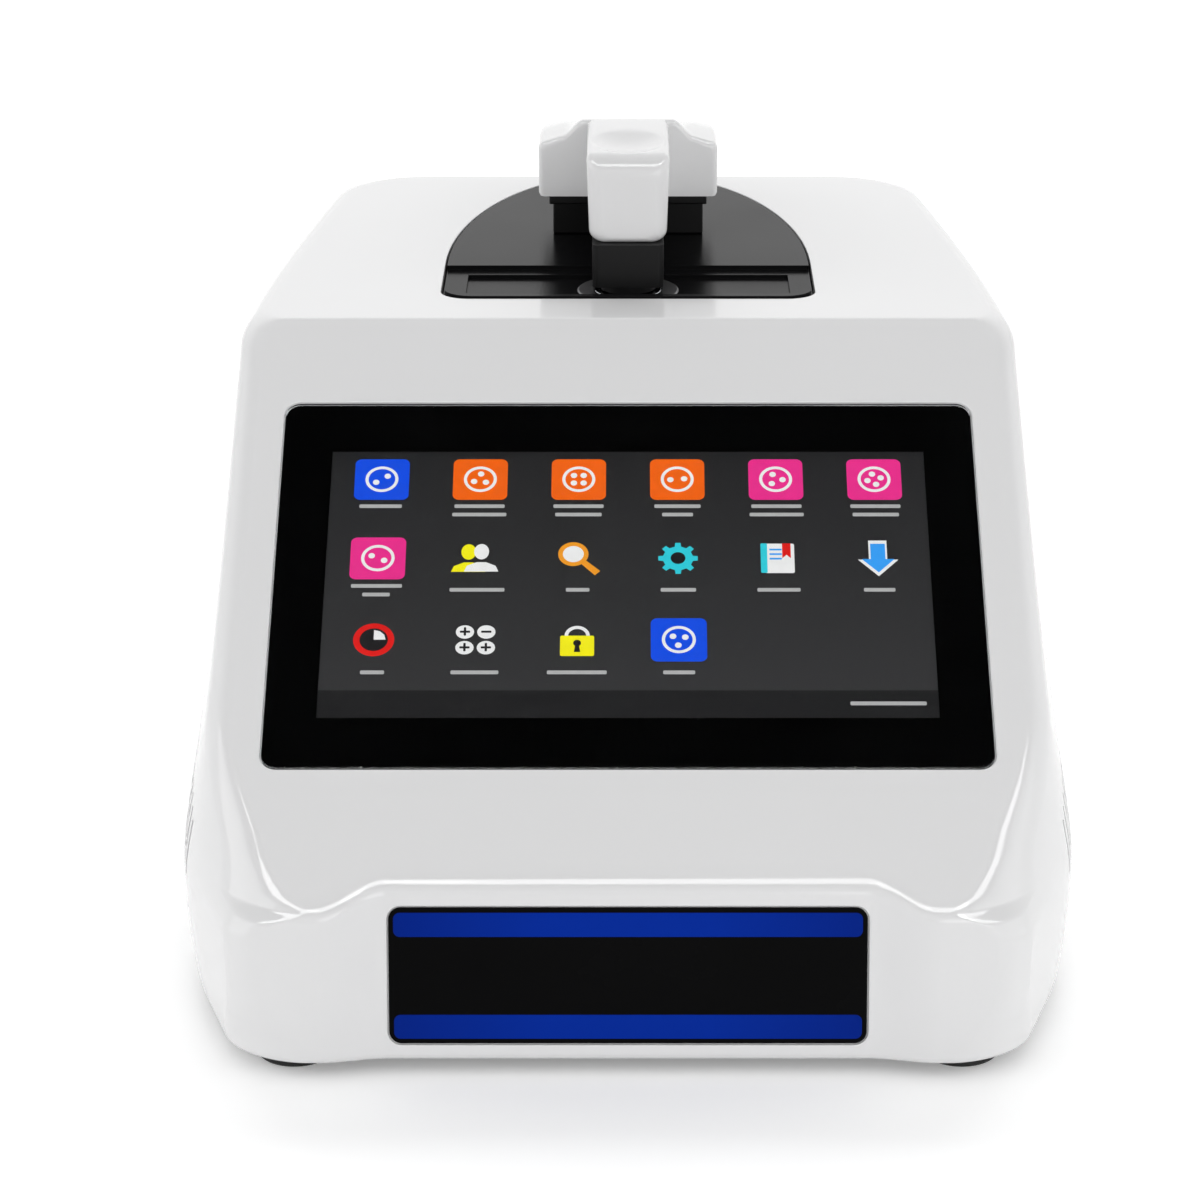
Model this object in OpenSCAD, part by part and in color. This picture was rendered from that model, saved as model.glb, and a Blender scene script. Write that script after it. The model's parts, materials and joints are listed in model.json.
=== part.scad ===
// Automated cell counter: a bench instrument with a sloped touch screen, a sample
// stage on top and a lifting arm that holds the light and the upper sample window.
// Millimetres. +X to the right, +Y to the rear, +Z up. The origin is on the bench
// under the middle of the casing. Inside the modules, depths are counted from the foot
// of the recessed front face, and in_place() moves them back to the origin.

/* [Casing] */
// Greatest width of the casing, across the flanks
body_w = 225; // [221:1:229]
// Height of the flat top above the bench
body_h = 144.3; // [143:0.5:146]
// Rear face of the casing
body_back = 330; // [328:1:334]
// Gap between the bench and the casing's lower edge
body_z = 4; // [3.5:0.5:5]
// Wall thickness of the casing
wall = 3; // [2.5:0.1:3.2]
// Tilt of the screen slope from level
slope_angle = 31.85; // [31:0.05:32.5]
// Lean of the recessed front face from upright
face_lean = 10; // [8:0.5:11]
// Depth of the front recess at its foot
recess_deep = 2.5; // [2:0.1:3]
// Half width of the front recess
recess_half = 58; // [58:1:62]
// Rounding of the edge between the flanks and the top
top_round = 6.5; // [6:0.5:9]

/* [Screen] */
// Width of the cover glass
glass_w = 181; // [176:1:182]
// Height of the cover glass along the slope
glass_h = 118.7; // [116:0.5:119]
// Distance up the slope to the glass
glass_up = 34.6; // [34:0.2:36]
// Width of the lit picture
view_w = 155; // [150:1:156]
// Height of the lit picture
view_h = 87; // [84:0.5:88]

/* [Label] */
// Width of the front label
label_w = 115.5; // [100:0.5:116]
// Height of the front label
label_h = 33.8; // [30:0.2:34]

/* [Stage] */
// Half width of the stage plate
stage_half = 51.2; // [50:0.1:53]
// Front edge of the stage plate
stage_front = 184; // [183.5:0.5:185]
// Distance from front to back of the optical axis
axis_y = 201; // [200.5:0.5:201.5]
// Outer radius of the sample window ring
ring_r = 14.2; // [13:0.1:14.4]
// Clear gap between the two sample windows with the arm down
sample_gap = 0.3; // [0.2:0.05:0.5]

/* [Arm] */
// Half width of the arm's nose
nose_half = 11.5; // [11:0.1:11.8]
// Half width of the arm's rear block
block_half = 25.5; // [25:0.1:27]
// Underside of the nose
nose_z = 156.7; // [156:0.1:158]
// Highest point of the arm
arm_top = 182.1; // [181.8:0.1:182.8]
// Hinge axis, distance from front to back
hinge_y = 289; // [288:0.5:290]
// Hinge axis height
hinge_z = 161; // [160.5:0.1:161.5]
// Radius of the hinge shaft
shaft_r = 3; // [2.5:0.1:3.2]

/* [Focus drive] */
// Radius of the guide rods
rod_r = 3; // [2.5:0.1:3.5]
// Half distance between the guide rods
rod_half = 24; // [23:0.5:25]
// Radius of the lead screw
screw_r = 2.5; // [2:0.1:3]

/* [Hidden] */

white = [0.93, 0.93, 0.94];
black = [0.06, 0.06, 0.065];
steel = [0.7, 0.71, 0.73];
alloy = [0.6, 0.62, 0.65];
brass = [0.75, 0.62, 0.35];
board_green = [0.05, 0.3, 0.16];
clearance = 0.35;            // gap round every inset part
face_rise = 43.3;            // height of the recessed front face
face_top_y = face_rise * tan(face_lean);
face_top_z = body_z + face_rise;
pillar_lean = 4.1;           // lean of the corner pillars from upright
pillar_run = tan(pillar_lean);
pillar_top_z = (face_top_z / tan(slope_angle) - face_top_y - body_z * pillar_run - recess_deep)
    / (1 / tan(slope_angle) - pillar_run);
recess_blend = 17;           // width of the S-shaped step beside the recess
corner_w = 98.9;             // half width where the front corner ends
corner_y = 9.5;
corner_round = 18;           // rounding of the slope's lower corners
flank_flare = 0.362;           // outward run of the flank behind the corner
shoulder_in = 8.6;           // how far the flank draws in up to the slope
tuck_in = 2.6;               // how far the flank draws in down to the bench
tuck_z = 35;
taper_y = 165;               // where the casing starts to narrow to the rear
rear_taper = 17;
rear_round = 20;

function lerp(a, b, t) = a + (b - a) * t;
function unit(t) = min(1, max(0, t));
function ease(t) = let(u = unit(t)) u * u * (3 - 2 * u);
function soft_max(a, b, k) = max(a, b) + pow(max(k - abs(a - b), 0), 2) / (4 * k);
function soft_min(a, b, k) = min(a, b) - pow(max(k - abs(a - b), 0), 2) / (4 * k);
function quarter(r, t) = r - sqrt(max(0, r * r - t * t));

// ---------- casing surface ----------

function slope_y(z) = face_top_y + (z - face_top_z) / tan(slope_angle);
function slope_z(y) = min(body_h, face_top_z + (y - face_top_y) * tan(slope_angle));

// Half width of the casing at depth y and height z
function flank_x(y, z) =
    let(
        full = soft_min(corner_w + flank_flare * (y - corner_y), body_w / 2, 5),
        narrow = rear_taper * pow(max(0, (y - taper_y) / (body_back - taper_y)), 1.4),
        shoulder = shoulder_in * pow(unit((z - tuck_z) / max(10, slope_z(y) - tuck_z)), 1.4),
        tuck = tuck_in * pow(unit((tuck_z - z) / (tuck_z - body_z)), 2) * lerp(0.3, 1, unit((y - 5) / 35))
    )
    full - narrow - shoulder - tuck;

// Front surface: the slope, or the face below it with its recess and pillars
function lower_y(x, z) = lerp(
    (z - body_z) * tan(face_lean),
    (z - body_z) * pillar_run - recess_deep,
    ease((abs(x) - recess_half) / recess_blend)
);
function front_y(x, z, inset) = soft_max(
    slope_y(z) + inset / sin(slope_angle),
    lower_y(x, z) + inset,
    4
);

// Rounding of the top and bottom edges
function edge_in(z) =
    quarter(top_round, max(0, z - (body_h - top_round))) + quarter(2, max(0, body_z + 2 - z));

// A quarter ellipse from p0 along X that leaves it along the direction (run, 1) * turn
function bend(p0, a, b, run, turn, n) = [
    for (i = [0:n])
        let(s = 90 * i / n)
        [p0.x + a * sin(s) + b * run * (1 - cos(s)), p0.y + turn * b * (1 - cos(s))]
];

// How far the slope's lower corners are rounded off at height z
function corner_turn(z) = z < pillar_top_z
    ? 0.45 * corner_round * ease(1 + (z - pillar_top_z) / 3)
    : soft_min(
        quarter(corner_round, max(0, corner_round - (z - pillar_top_z) / sin(slope_angle))),
        0.45 * corner_round,
        0.5 * corner_round
    );

// The right half of the casing's outline at height z, from the rear to the front
function half_ring(z, inset) =
    let(
        e = edge_in(z) + inset,
        front = front_y(recess_half + recess_blend, z, inset) + quarter(2, max(0, body_z + 2 - z)),
        low = ease((z - 8) / 12),
        high = ease((z - 36) / 14),
        a = lerp(lerp(16, 7, low), 6.2, high) + corner_turn(z),
        b = lerp(lerp(14, 7, low), 11.7, high) + corner_turn(z),
        by = front + b,
        bx = flank_x(by, z) - e,
        run = (flank_x(by + 1, z) - flank_x(by - 1, z)) / 2,
        start = [bx - a - b * run, front],
        back = body_back - e,
        cy = back - rear_round,
        back_run = (flank_x(cy - 1, z) - flank_x(cy + 1, z)) / 2,
        corner = [flank_x(cy, z) - e - rear_round - rear_round * back_run, back],
        shrink = min(1, (start.x - 0.5 - recess_half) / (recess_blend + 1)),
        steps = concat([for (t = [recess_blend + 1:-3:0]) recess_half + t * shrink], [30, 0])
    )
    concat(
        [for (i = [0:2]) [corner.x * i / 3, back]],
        bend(corner, rear_round, rear_round, back_run, -1, 5),
        [for (i = [8:-1:1]) let(y = lerp(by, cy, pow(i / 9, 1.4))) [flank_x(y, z) - e, y]],
        [for (i = [7:-1:0]) bend(start, a, b, run, 1, 7)[i]],
        [for (x = steps) [x, front_y(x, z, inset) + quarter(2, max(0, body_z + 2 - z))]]
    );

function ring(z, inset) =
    let(half = half_ring(z, inset), n = len(half))
    concat(
        [for (p = half) [p.x, p.y, z]],
        [for (i = [n - 2:-1:1]) [-half[i].x, half[i].y, z]]
    );

function middle(points) = [for (p = points) 1] * points / len(points);

// A closed solid through a stack of rings, each the same number of points
module stack(rings) {
    n = len(rings[0]);
    m = len(rings);
    polyhedron(
        points = concat([for (r = rings) for (p = r) p], [middle(rings[0]), middle(rings[m - 1])]),
        faces = concat(
            [for (j = [0:n - 1]) [m * n, (j + 1) % n, j]],
            [for (j = [0:n - 1]) [m * n + 1, (m - 1) * n + j, (m - 1) * n + (j + 1) % n]],
            [
                for (i = [0:m - 2]) for (j = [0:n - 1])
                    let(k = (j + 1) % n, a = i * n + j, b = i * n + k, c = b + n, d = a + n)
                    each [[a, b, c], [a, c, d]]
            ]
        ),
        convexity = 8
    );
}

outer_levels = concat(
    [body_z, body_z + 0.6, body_z + 2],
    [for (z = [12:8:36]) z],
    [for (z = [37.6:1.3:51.9]) z],
    [54.5, 59, 67, 77],
    [for (z = [92:12:128]) z],
    [for (s = [10:16:90]) body_h - top_round + top_round * sin(s)]
);
inner_levels = concat(
    [body_z - 1, body_z + 2, 12, 24, 36],
    [for (z = [40:5:50]) z],
    [for (z = [62:24:110]) z],
    [134, body_h - wall]
);

// ---------- local frames ----------

mid_y = (body_back + lower_y(body_w / 2, body_z + 2)) / 2;

module in_place() {
    translate([0, -mid_y, 0]) children();
}

module on_slope() {
    translate([0, face_top_y, face_top_z]) rotate([slope_angle, 0, 0]) children();
}

module on_face() {
    translate([0, 0, body_z]) rotate([90 - face_lean, 0, 0]) children();
}

module plate(w, h, r, t) {
    linear_extrude(t) plate_2d(w, h, r);
}

module plate_2d(w, h, r) {
    for (s = [-1, 1])
        for (q = [-1, 1])
            translate([s * (w / 2 - r), q * (h / 2 - r)]) circle(r, $fn = 32);
    square([w - 2 * r, h], center = true);
    square([w, h - 2 * r], center = true);
}

module box(low, high) {
    translate(low) cube(high - low);
}

module rod(p, r, h) {
    translate(p) cylinder(r = r, h = h, $fn = 48);
}

// ---------- casing ----------

panel_half = 66;             // rear panel
panel_low = 14;
panel_high = 80;
glass_t = 1.1;
mask_t = 0.3;
pocket_t = 1.6;              // depth of the glass's pocket
hole_w = 169;                // hole in the casing behind the glass
hole_h = 103;
label_y = 21.36;             // middle of the label, up the front face
band_y = label_h / 2 - 4.2;  // middle of each label band
glass_y = glass_up + glass_h / 2;
view_y = 93.85;              // middle of the picture, up the slope
vent_count = 20;
vent_pitch = 3.3;
usb_y = 56;                  // side socket
usb_z = 26;

module vent_row(side) {
    for (i = [0:vent_count - 1]) {
        y = 44 + i * vent_pitch;
        top = slope_z(y) - 22 + 6 * i / vent_count;
        hull() for (z = [top - 13, top])
            translate([side * 105, y, z]) rotate([0, 90, 0]) cylinder(r = 0.8, h = 40, center = true, $fn = 6);
    }
}

module top_shell() {
    color(white) difference() {
        union() {
            difference() {
                stack([for (z = outer_levels) ring(z, 0)]);
                stack([for (z = inner_levels) ring(z, wall)]);
            }
            bosses();
        }
        for (p = screw_spots) rod([p.x, p.y, 0], 1.32, 24);
        on_slope() translate([0, glass_y, -pocket_t]) plate(glass_w + 2 * clearance, glass_h + 2 * clearance, 4.2, 10);
        on_slope() translate([0, view_y, -9]) plate(hole_w, hole_h, 2, 10);
        on_face() translate([0, label_y, -0.9]) plate(label_w + 2 * clearance, label_h + 2 * clearance, 3.2, 6);
        translate([0, 0, body_h - 8]) linear_extrude(12) polygon(stage_outline(stage_gap));
        box([-panel_half, 300, panel_low], [panel_half, 350, panel_high]);
        vent_row(-1);
        vent_row(1);
        box([-130, usb_y - 7.6, usb_z - 4], [-90, usb_y + 7.6, usb_z + 4]);
    }
}

// ---------- stage ----------

stage_gap = 0.7;             // gap between the stage plate and the casing
deck_z = body_h - 1.3;       // front deck, below the rear deck
deck_step = 218.4;
tray_half = 45;
tray_back = 213;
tray_z = deck_z - 1;
lip_inset = 0.2;
lip_t = 2.2;                 // lip along the front of the deck
lip_rise = 0.5;
lip_reach = 6.5;
stage_low = body_h - 8;
stage_back = 314;
ring_top = tray_z + 0.3;

function stage_outline(grow) =
    let(
        half = stage_half + grow,
        r = 8,
        cy = 221.7,
        reach = 107 + grow,
        back = stage_back + grow,
        last = asin((back - cy) / reach),
        right = concat(
            [for (s = [0:15:90]) [half - r + r * sin(s), stage_front - grow + r - r * cos(s)]],
            [for (i = [0:12]) let(t = last * i / 12) [half * cos(t), cy + reach * sin(t)]]
        )
    )
    concat(right, [for (i = [len(right) - 1:-1:0]) [-right[i].x, right[i].y]]);

module stage_plate() {
    color(black) {
        difference() {
            translate([0, 0, stage_low]) linear_extrude(body_h - stage_low) polygon(stage_outline(0));
            box([-70, stage_front - 5, deck_z], [70, deck_step, body_h + 5]);
            box([-tray_half, axis_y - ring_r, tray_z], [tray_half, tray_back, body_h + 5]);
            rod([0, axis_y, ring_top - 3], ring_r + 0.05, 10);
            rod([0, axis_y, stage_low - 5], 12, 20);
        }
        translate([0, 0, deck_z - 0.5]) linear_extrude(body_h + lip_rise - deck_z + 0.5) intersection() {
            difference() {
                polygon(stage_outline(-lip_inset));
                polygon(stage_outline(-lip_inset - lip_t));
            }
            translate([-70, stage_front - 1]) square([140, lip_reach + 1]);
        }
    }
}

module window_ring() {
    color(steel) translate([0, axis_y, ring_top - 3]) rotate_extrude($fn = 72)
        polygon([[8, 0], [ring_r, 0], [ring_r, 2.6], [ring_r - 0.4, 3], [9.5, 3], [9.2, 2.7], [9.2, 1.5], [8, 1.5]]);
}

module lower_window() {
    color([0.75, 0.85, 0.9, 0.5]) rod([0, axis_y, ring_top - 1.5], 9.15, 1.4);
}

// ---------- screen ----------

module screen_glass() {
    color([0.1, 0.1, 0.12, 0.35]) on_slope() translate([0, glass_y, -glass_t]) plate(glass_w, glass_h, 4, glass_t);
}

module screen_mask() {
    color(black) on_slope() translate([0, 0, -glass_t - mask_t]) linear_extrude(mask_t) difference() {
        translate([0, glass_y]) plate_2d(glass_w - 0.4, glass_h - 0.4, 4);
        translate([0, view_y]) square([view_w, view_h], center = true);
    }
}

ink_t = 0.3;
face_n = -glass_t - mask_t - ink_t;  // front of the display panel

module display_panel() {
    color([0.13, 0.13, 0.14]) on_slope() translate([-82.5, view_y - 49.5, face_n - 5]) cube([165, 99, 5]);
}

// Rows and columns of the menu, in the picture's own frame
tile_w = 14.2;
tile_h = 13.7;
column_pitch = 25.7;
row_pitch = 26.4;

module cell(column, row) {
    translate([(column - 2.5) * column_pitch, view_y + 34.2 - row * row_pitch, face_n]) linear_extrude(ink_t)
        children();
}

module tile() {
    plate_2d(tile_w, tile_h, 1.6);
}

module ui_tiles_orange() {
    color([0.95, 0.38, 0.03]) on_slope() for (c = [1:3]) cell(c, 0) tile();
}

module ui_tiles_magenta() {
    color([0.9, 0.12, 0.55]) on_slope() {
        for (c = [4:5]) cell(c, 0) tile();
        cell(0, 1) tile();
    }
}

module ui_tiles_blue() {
    color([0.05, 0.3, 0.85]) on_slope() {
        cell(0, 0) tile();
        cell(3, 2) tile();
    }
}

// Captions as plain bars, and the icons that are white
module ui_icons_white() {
    color([0.9, 0.9, 0.88]) on_slope() {
        for (row = [0:2]) for (column = [0:row == 2 ? 3 : 5])
            cell(column, row) translate([0, -10.3]) square([13, 1], center = true);
        cell(1, 1) {
            translate([0, 3]) circle(2.6, $fn = 24);
            translate([0, -2.6]) square([9, 4], center = true);
        }
        cell(4, 1) square([8, 10], center = true);
        cell(1, 2) for (x = [-2.8, 2.8]) for (y = [-2.8, 2.8]) translate([x, y]) circle(2.4, $fn = 24);
    }
}

module ui_icons_colour() {
    color([0.2, 0.75, 0.9]) on_slope() {
        cell(2, 1) difference() {
            circle(4.5, $fn = 32);
            circle(3, $fn = 32);
        }
        cell(3, 1) for (turn = [0:45:135]) rotate(turn) square([10, 2.4], center = true);
        cell(5, 1) polygon([[0, -5], [4.5, 0], [2, 0], [2, 5], [-2, 5], [-2, 0], [-4.5, 0]]);
        cell(0, 2) difference() {
            circle(5, $fn = 32);
            circle(3.6, $fn = 32);
        }
        cell(2, 2) translate([0, -1.2]) square([8, 6], center = true);
    }
}

// Shallow tray that clamps the display to the casing from behind
module screen_frame() {
    back = face_n - 6.5;
    color(steel) on_slope() translate([0, view_y, back]) difference() {
        plate(178, 112, 3, -wall - back);
        translate([0, 0, 1.5]) plate(165.8, 99.8, 1, 10);
        translate([0, 0, -1]) plate(140, 72, 3, 4);
    }
}

module display_ribbon() {
    color([0.75, 0.72, 0.65]) box([-80, 108, board_z + 6], [-60, 108.5, 99]);
    color(black) box([-81, 105.5, board_z + 1.6], [-59, 111, board_z + 6]);
}

// ---------- front label ----------

module front_label() {
    color(black) on_face() translate([0, label_y, -0.85]) difference() {
        plate(label_w, label_h, 3, 0.8);
        for (s = [-1, 1]) translate([0, s * band_y, 0.5]) plate(label_w - 2.4, 6, 1, 1);
    }
}

module label_bands() {
    color([0.02, 0.17, 0.58]) on_face() translate([0, label_y, -0.85])
        for (s = [-1, 1]) translate([0, s * band_y, 0.5]) plate(label_w - 2.4, 6, 1, 0.3);
}

// ---------- base, feet and rear ----------

tray_t = 3;
foot_x = 81.4;
foot_front = 13.8;
foot_back = 300;
side_spots = [[101, 70], [101, 180], [88, 296]];
front_spot = [64, 14];

// Places of the base screws, on both sides
screw_spots = [for (s = [-1, 1]) for (p = concat(side_spots, [front_spot])) [s * p.x, p.y]];

// Screw posts inside the casing, each tied to the wall by a rib
module bosses() {
    low = body_z + 0.4 + tray_t;
    for (s = [-1, 1]) {
        for (p = side_spots) {
            rod([s * p.x, p.y, low], 4, 20);
            translate([s * (p.x + 4.5), p.y, low + 10]) cube([9, 2.4, 20], center = true);
        }
        rod([s * front_spot.x, front_spot.y, low], 4, 20);
        translate([s * front_spot.x, front_spot.y - 4, low + 10]) cube([2.4, 8, 20], center = true);
    }
}

module base_tray() {
    color([0.2, 0.2, 0.21]) difference() {
        intersection() {
            box([-130, -10, body_z + 0.4], [130, 340, body_z + 0.4 + tray_t]);
            stack([for (z = [body_z - 1, 12]) ring(z, wall + 0.3)]);
        }
        for (p = screw_spots) rod([p.x, p.y, 0], 1.7, 12);
        for (i = [0:9]) box([-40, 60 + i * 7, 0], [40, 63 + i * 7, 12]);
    }
}

module foot(x, y) {
    color(black) translate([x, y, 0]) rotate_extrude($fn = 48)
        polygon([[0, 0], [9, 0], [10, 1], [9.4, body_z + 0.4], [0, body_z + 0.4]]);
}
module foot_front_left() { foot(-foot_x, foot_front); }
module foot_front_right() { foot(foot_x, foot_front); }
module foot_rear_left() { foot(-foot_x + 14.5, foot_back); }
module foot_rear_right() { foot(foot_x - 14.5, foot_back); }

module case_screws() {
    color(steel) for (p = screw_spots) {
        rod([p.x, p.y, body_z - 1.6], 3, 2);
        rod([p.x, p.y, body_z + 0.4], 1.3, 14);
    }
}

panel_y = body_back - wall;  // outer face of the rear panel
panel_t = 2;
fan_at = [36, 47];
fan_size = 50;
fan_t = 15;
board_bolts = [98, 272];     // rows of the main board's screws
jack_at = [-56, 30];
rocker_at = [-34, 30];
usb_at = [-14, 30];
net_at = [-14, 52];

module rear_panel() {
    color([0.16, 0.16, 0.17]) difference() {
        box([-panel_half - 4, panel_y - panel_t, panel_low - 4], [panel_half + 4, panel_y, panel_high + 4]);
        translate([fan_at.x, 0, fan_at.y]) rotate([-90, 0, 0]) fan_grille(panel_y - 10);
        translate([jack_at.x, panel_y - 10, jack_at.y]) rotate([-90, 0, 0]) cylinder(r = 5.5, h = 20, $fn = 48);
        box([rocker_at.x - 7, panel_y - 10, rocker_at.y - 10.5], [rocker_at.x + 7, panel_y + 10, rocker_at.y + 10.5]);
        box([usb_at.x - 7.5, panel_y - 10, usb_at.y - 8.3], [usb_at.x + 7.5, panel_y + 10, usb_at.y + 8.3]);
        box([net_at.x - 8.3, panel_y - 10, net_at.y - 7.3], [net_at.x + 8.3, panel_y + 10, net_at.y + 7.3]);
    }
}

// Ring-shaped slots with four spokes left between them
module fan_grille(from) {
    translate([0, 0, from]) difference() {
        linear_extrude(20) for (r = [8:5:23]) difference() {
            circle(r + 1.6, $fn = 64);
            circle(r - 1.6, $fn = 64);
        }
        for (turn = [0, 90]) rotate(turn + 45) translate([-30, -1.2, -1]) cube([60, 2.4, 22]);
    }
}

module fan_frame() {
    y = panel_y - panel_t - fan_t;
    color([0.12, 0.12, 0.12]) {
        difference() {
            box([fan_at.x - fan_size / 2, y, fan_at.y - fan_size / 2], [fan_at.x + fan_size / 2, y + fan_t, fan_at.y + fan_size / 2]);
            translate([fan_at.x, y - 1, fan_at.y]) rotate([-90, 0, 0]) cylinder(r = 23.6, h = fan_t + 2, $fn = 96);
        }
        difference() {
            union() {
                for (turn = [45, 135])
                    translate([fan_at.x, y, fan_at.y]) rotate([-90, turn, 0]) translate([-24, -1.5, 0]) cube([48, 3, 2]);
                translate([fan_at.x, y, fan_at.y]) rotate([-90, 0, 0]) cylinder(r = 10, h = 2, $fn = 48);
            }
            translate([fan_at.x, y - 1, fan_at.y]) rotate([-90, 0, 0]) cylinder(r = 1.55, h = 4, $fn = 48);
        }
    }
}

module fan_rotor() {
    y = panel_y - panel_t - fan_t + 2.6;
    color([0.15, 0.15, 0.16]) translate([fan_at.x, y, fan_at.y]) rotate([-90, 0, 0]) {
        cylinder(r = 9.5, h = 10, $fn = 64);
        translate([0, 0, -2.4]) cylinder(r = 1.5, h = 3, $fn = 48);
        for (turn = [0:360 / 7:359])
            rotate(turn) translate([8, 0, 1]) rotate([38, 0, 0]) translate([0, -0.6, 0]) cube([14.4, 1.2, 9]);
    }
}

module dc_inlet() {
    color(black) translate([jack_at.x, panel_y - 14, jack_at.y]) rotate([-90, 0, 0]) difference() {
        union() {
            cylinder(r = 5.4, h = 14.6, $fn = 48);
            translate([0, 0, 10]) cylinder(r = 7, h = 2, $fn = 48);
        }
        translate([0, 0, 3]) cylinder(r = 3.2, h = 20, $fn = 48);
    }
    color(steel) translate([jack_at.x, panel_y - 12, jack_at.y]) rotate([-90, 0, 0]) cylinder(r = 1, h = 11, $fn = 32);
}

module switch_bezel() {
    color(black) translate([rocker_at.x, panel_y, rocker_at.y]) difference() {
        union() {
            translate([-6.9, -14, -10.4]) cube([13.8, 14, 20.8]);
            translate([-8.5, 0, -12]) cube([17, 1.6, 24]);
        }
        translate([-5, -9, -8.2]) cube([10, 20, 16.4]);
        translate([-15, -3, 0]) rotate([0, 90, 0]) cylinder(r = 1.05, h = 30, $fn = 48);
    }
}

module power_rocker() {
    color([0.1, 0.1, 0.11]) translate([rocker_at.x, panel_y - 3, rocker_at.y]) {
        rotate([0, 90, 0]) cylinder(r = 1, h = 13, center = true, $fn = 48);
        rotate([0, -90, 0]) translate([0, 0, -4.7]) linear_extrude(9.4)
            polygon([[-7.4, 3.4], [-6.8, 5.8], [0, 4.2], [7.2, 3.4], [7, -1], [3, -2.4], [-3, -2.4], [-7, -1]]);
    }
}

module usb_shell(w, h, d) {
    difference() {
        cube([w, d, h]);
        translate([0.5, 4, 0.5]) cube([w - 1, d, h - 1]);
    }
    translate([2, 3, h / 2]) cube([w - 4, d - 9, 1.6]);
}

module usb_ports() {
    color(steel) for (z = [-8, 0.6]) translate([usb_at.x - 7, panel_y - 14, usb_at.y + z]) usb_shell(14, 7.4, 14);
}

module ethernet_port() {
    color(steel) translate([net_at.x, panel_y - 16, net_at.y]) difference() {
        translate([-8, 0, -7]) cube([16, 16, 14]);
        translate([-6, 4, -4]) cube([12, 14, 8.5]);
        translate([-3, 4, -5.6]) cube([6, 14, 4]);
    }
}

module side_usb_port() {
    color(steel) translate([-97.2, usb_y, usb_z]) rotate([0, 0, 90]) translate([-7, 0, -3.6]) usb_shell(14, 7.2, 14);
}

// ---------- electronics ----------

board_z = 20;

module main_board() {
    color(board_green) difference() {
        box([-96, 90, board_z], [-42, 280, board_z + 1.6]);
        for (y = board_bolts) for (x = [-90, -48]) rod([x, y, board_z - 2], 1.7, 6);
    }
    color([0.1, 0.1, 0.1]) for (y = [130, 230]) box([-60, y, board_z + 1.6], [-48, y + 14, board_z + 4]);
    color(steel) box([-94, 230, board_z + 1.6], [-80, 260, board_z + 9]);
}

module board_posts() {
    color(brass) for (y = board_bolts) for (x = [-90, -48]) difference() {
        rod([x, y, body_z + 0.4 + tray_t], 3, board_z - body_z - 0.4 - tray_t);
        rod([x, y, 12], 1.3, 12);
    }
}

module heat_sink() {
    color(alloy) {
        box([-92, 150, board_z + 1.6], [-62, 190, board_z + 4.6]);
        for (i = [0:6]) box([-92 + i * 4.75, 150, board_z + 4.6], [-90.5 + i * 4.75, 190, board_z + 16]);
    }
}

// ---------- optical bench and focus drive ----------

bench_low = body_z + 0.4 + tray_t;
bench_high = stage_low;
drive_y = 234;               // lead screw axis
rod_y = 226;
carriage_z = 96;

module optical_bench() {
    color(alloy) difference() {
        union() {
            box([-34, 180, bench_low], [34, 252, bench_low + 6]);
            for (x = [-40, 34]) box([x, 206, bench_low], [x + 6, 252, bench_high]);
            box([-40, 180, bench_high - 6], [40, 252, bench_high]);
        }
        rod([0, axis_y, bench_high - 10], 15, 20);
        rod([0, drive_y, bench_high - 10], 5, 20);
        for (s = [-1, 1]) {
            rod([s * rod_half, rod_y, bench_low + 2], rod_r, 10);
            rod([s * rod_half, rod_y, bench_high - 8], rod_r, 7);
        }
    }
}

module guide_rod(side) {
    color(steel) rod([side * rod_half, rod_y, bench_low + 2], rod_r, bench_high - 1 - bench_low - 2);
}
module guide_rod_left() { guide_rod(-1); }
module guide_rod_right() { guide_rod(1); }

module screw_bearing() {
    color(brass) translate([0, drive_y, bench_high - 6]) difference() {
        union() {
            cylinder(r = 5, h = 6, $fn = 48);
            translate([0, 0, -1.5]) cylinder(r = 7, h = 1.5, $fn = 48);
        }
        translate([0, 0, -5]) cylinder(r = screw_r - 0.5 + 0.05, h = 20, $fn = 48);
    }
}

module focus_motor() {
    color([0.25, 0.25, 0.27]) translate([0, drive_y, bench_low + 6]) {
        translate([-14, -14, 0]) cube([28, 28, 30]);
        cylinder(r = 8, h = 32, $fn = 48);
    }
    color(steel) rod([0, drive_y, bench_low + 38], 2, 8);
}

module motor_coupling() {
    color(alloy) translate([0, drive_y, bench_low + 39]) difference() {
        cylinder(r = 6, h = 18, $fn = 48);
        translate([0, 0, -1]) cylinder(r = 2.05, h = 9, $fn = 48);
        translate([0, 0, 10]) cylinder(r = screw_r + 0.02, h = 10, $fn = 48);
        for (z = [7, 9]) translate([0, -7, z]) cube([8, 14, 0.8]);
    }
}

module lead_screw() {
    color(steel) {
        rod([0, drive_y, bench_low + 49], screw_r, bench_high - 7.6 - bench_low - 49);
        rod([0, drive_y, bench_high - 8], screw_r - 0.5, 7.5);
    }
}

module focus_carriage() {
    color(black) difference() {
        union() {
            box([-32, 218, carriage_z], [32, 242, carriage_z + 16]);
            box([-16, 196, carriage_z], [16, 220, carriage_z + 12]);
            rod([0, axis_y, carriage_z], 16, 12);
        }
        rod([0, axis_y, carriage_z - 5], 10.02, 30);
        rod([0, drive_y, carriage_z - 5], screw_r + 0.06, 30);
        for (s = [-1, 1]) rod([s * rod_half, rod_y, carriage_z - 5], rod_r + 0.04, 30);
    }
}

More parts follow.
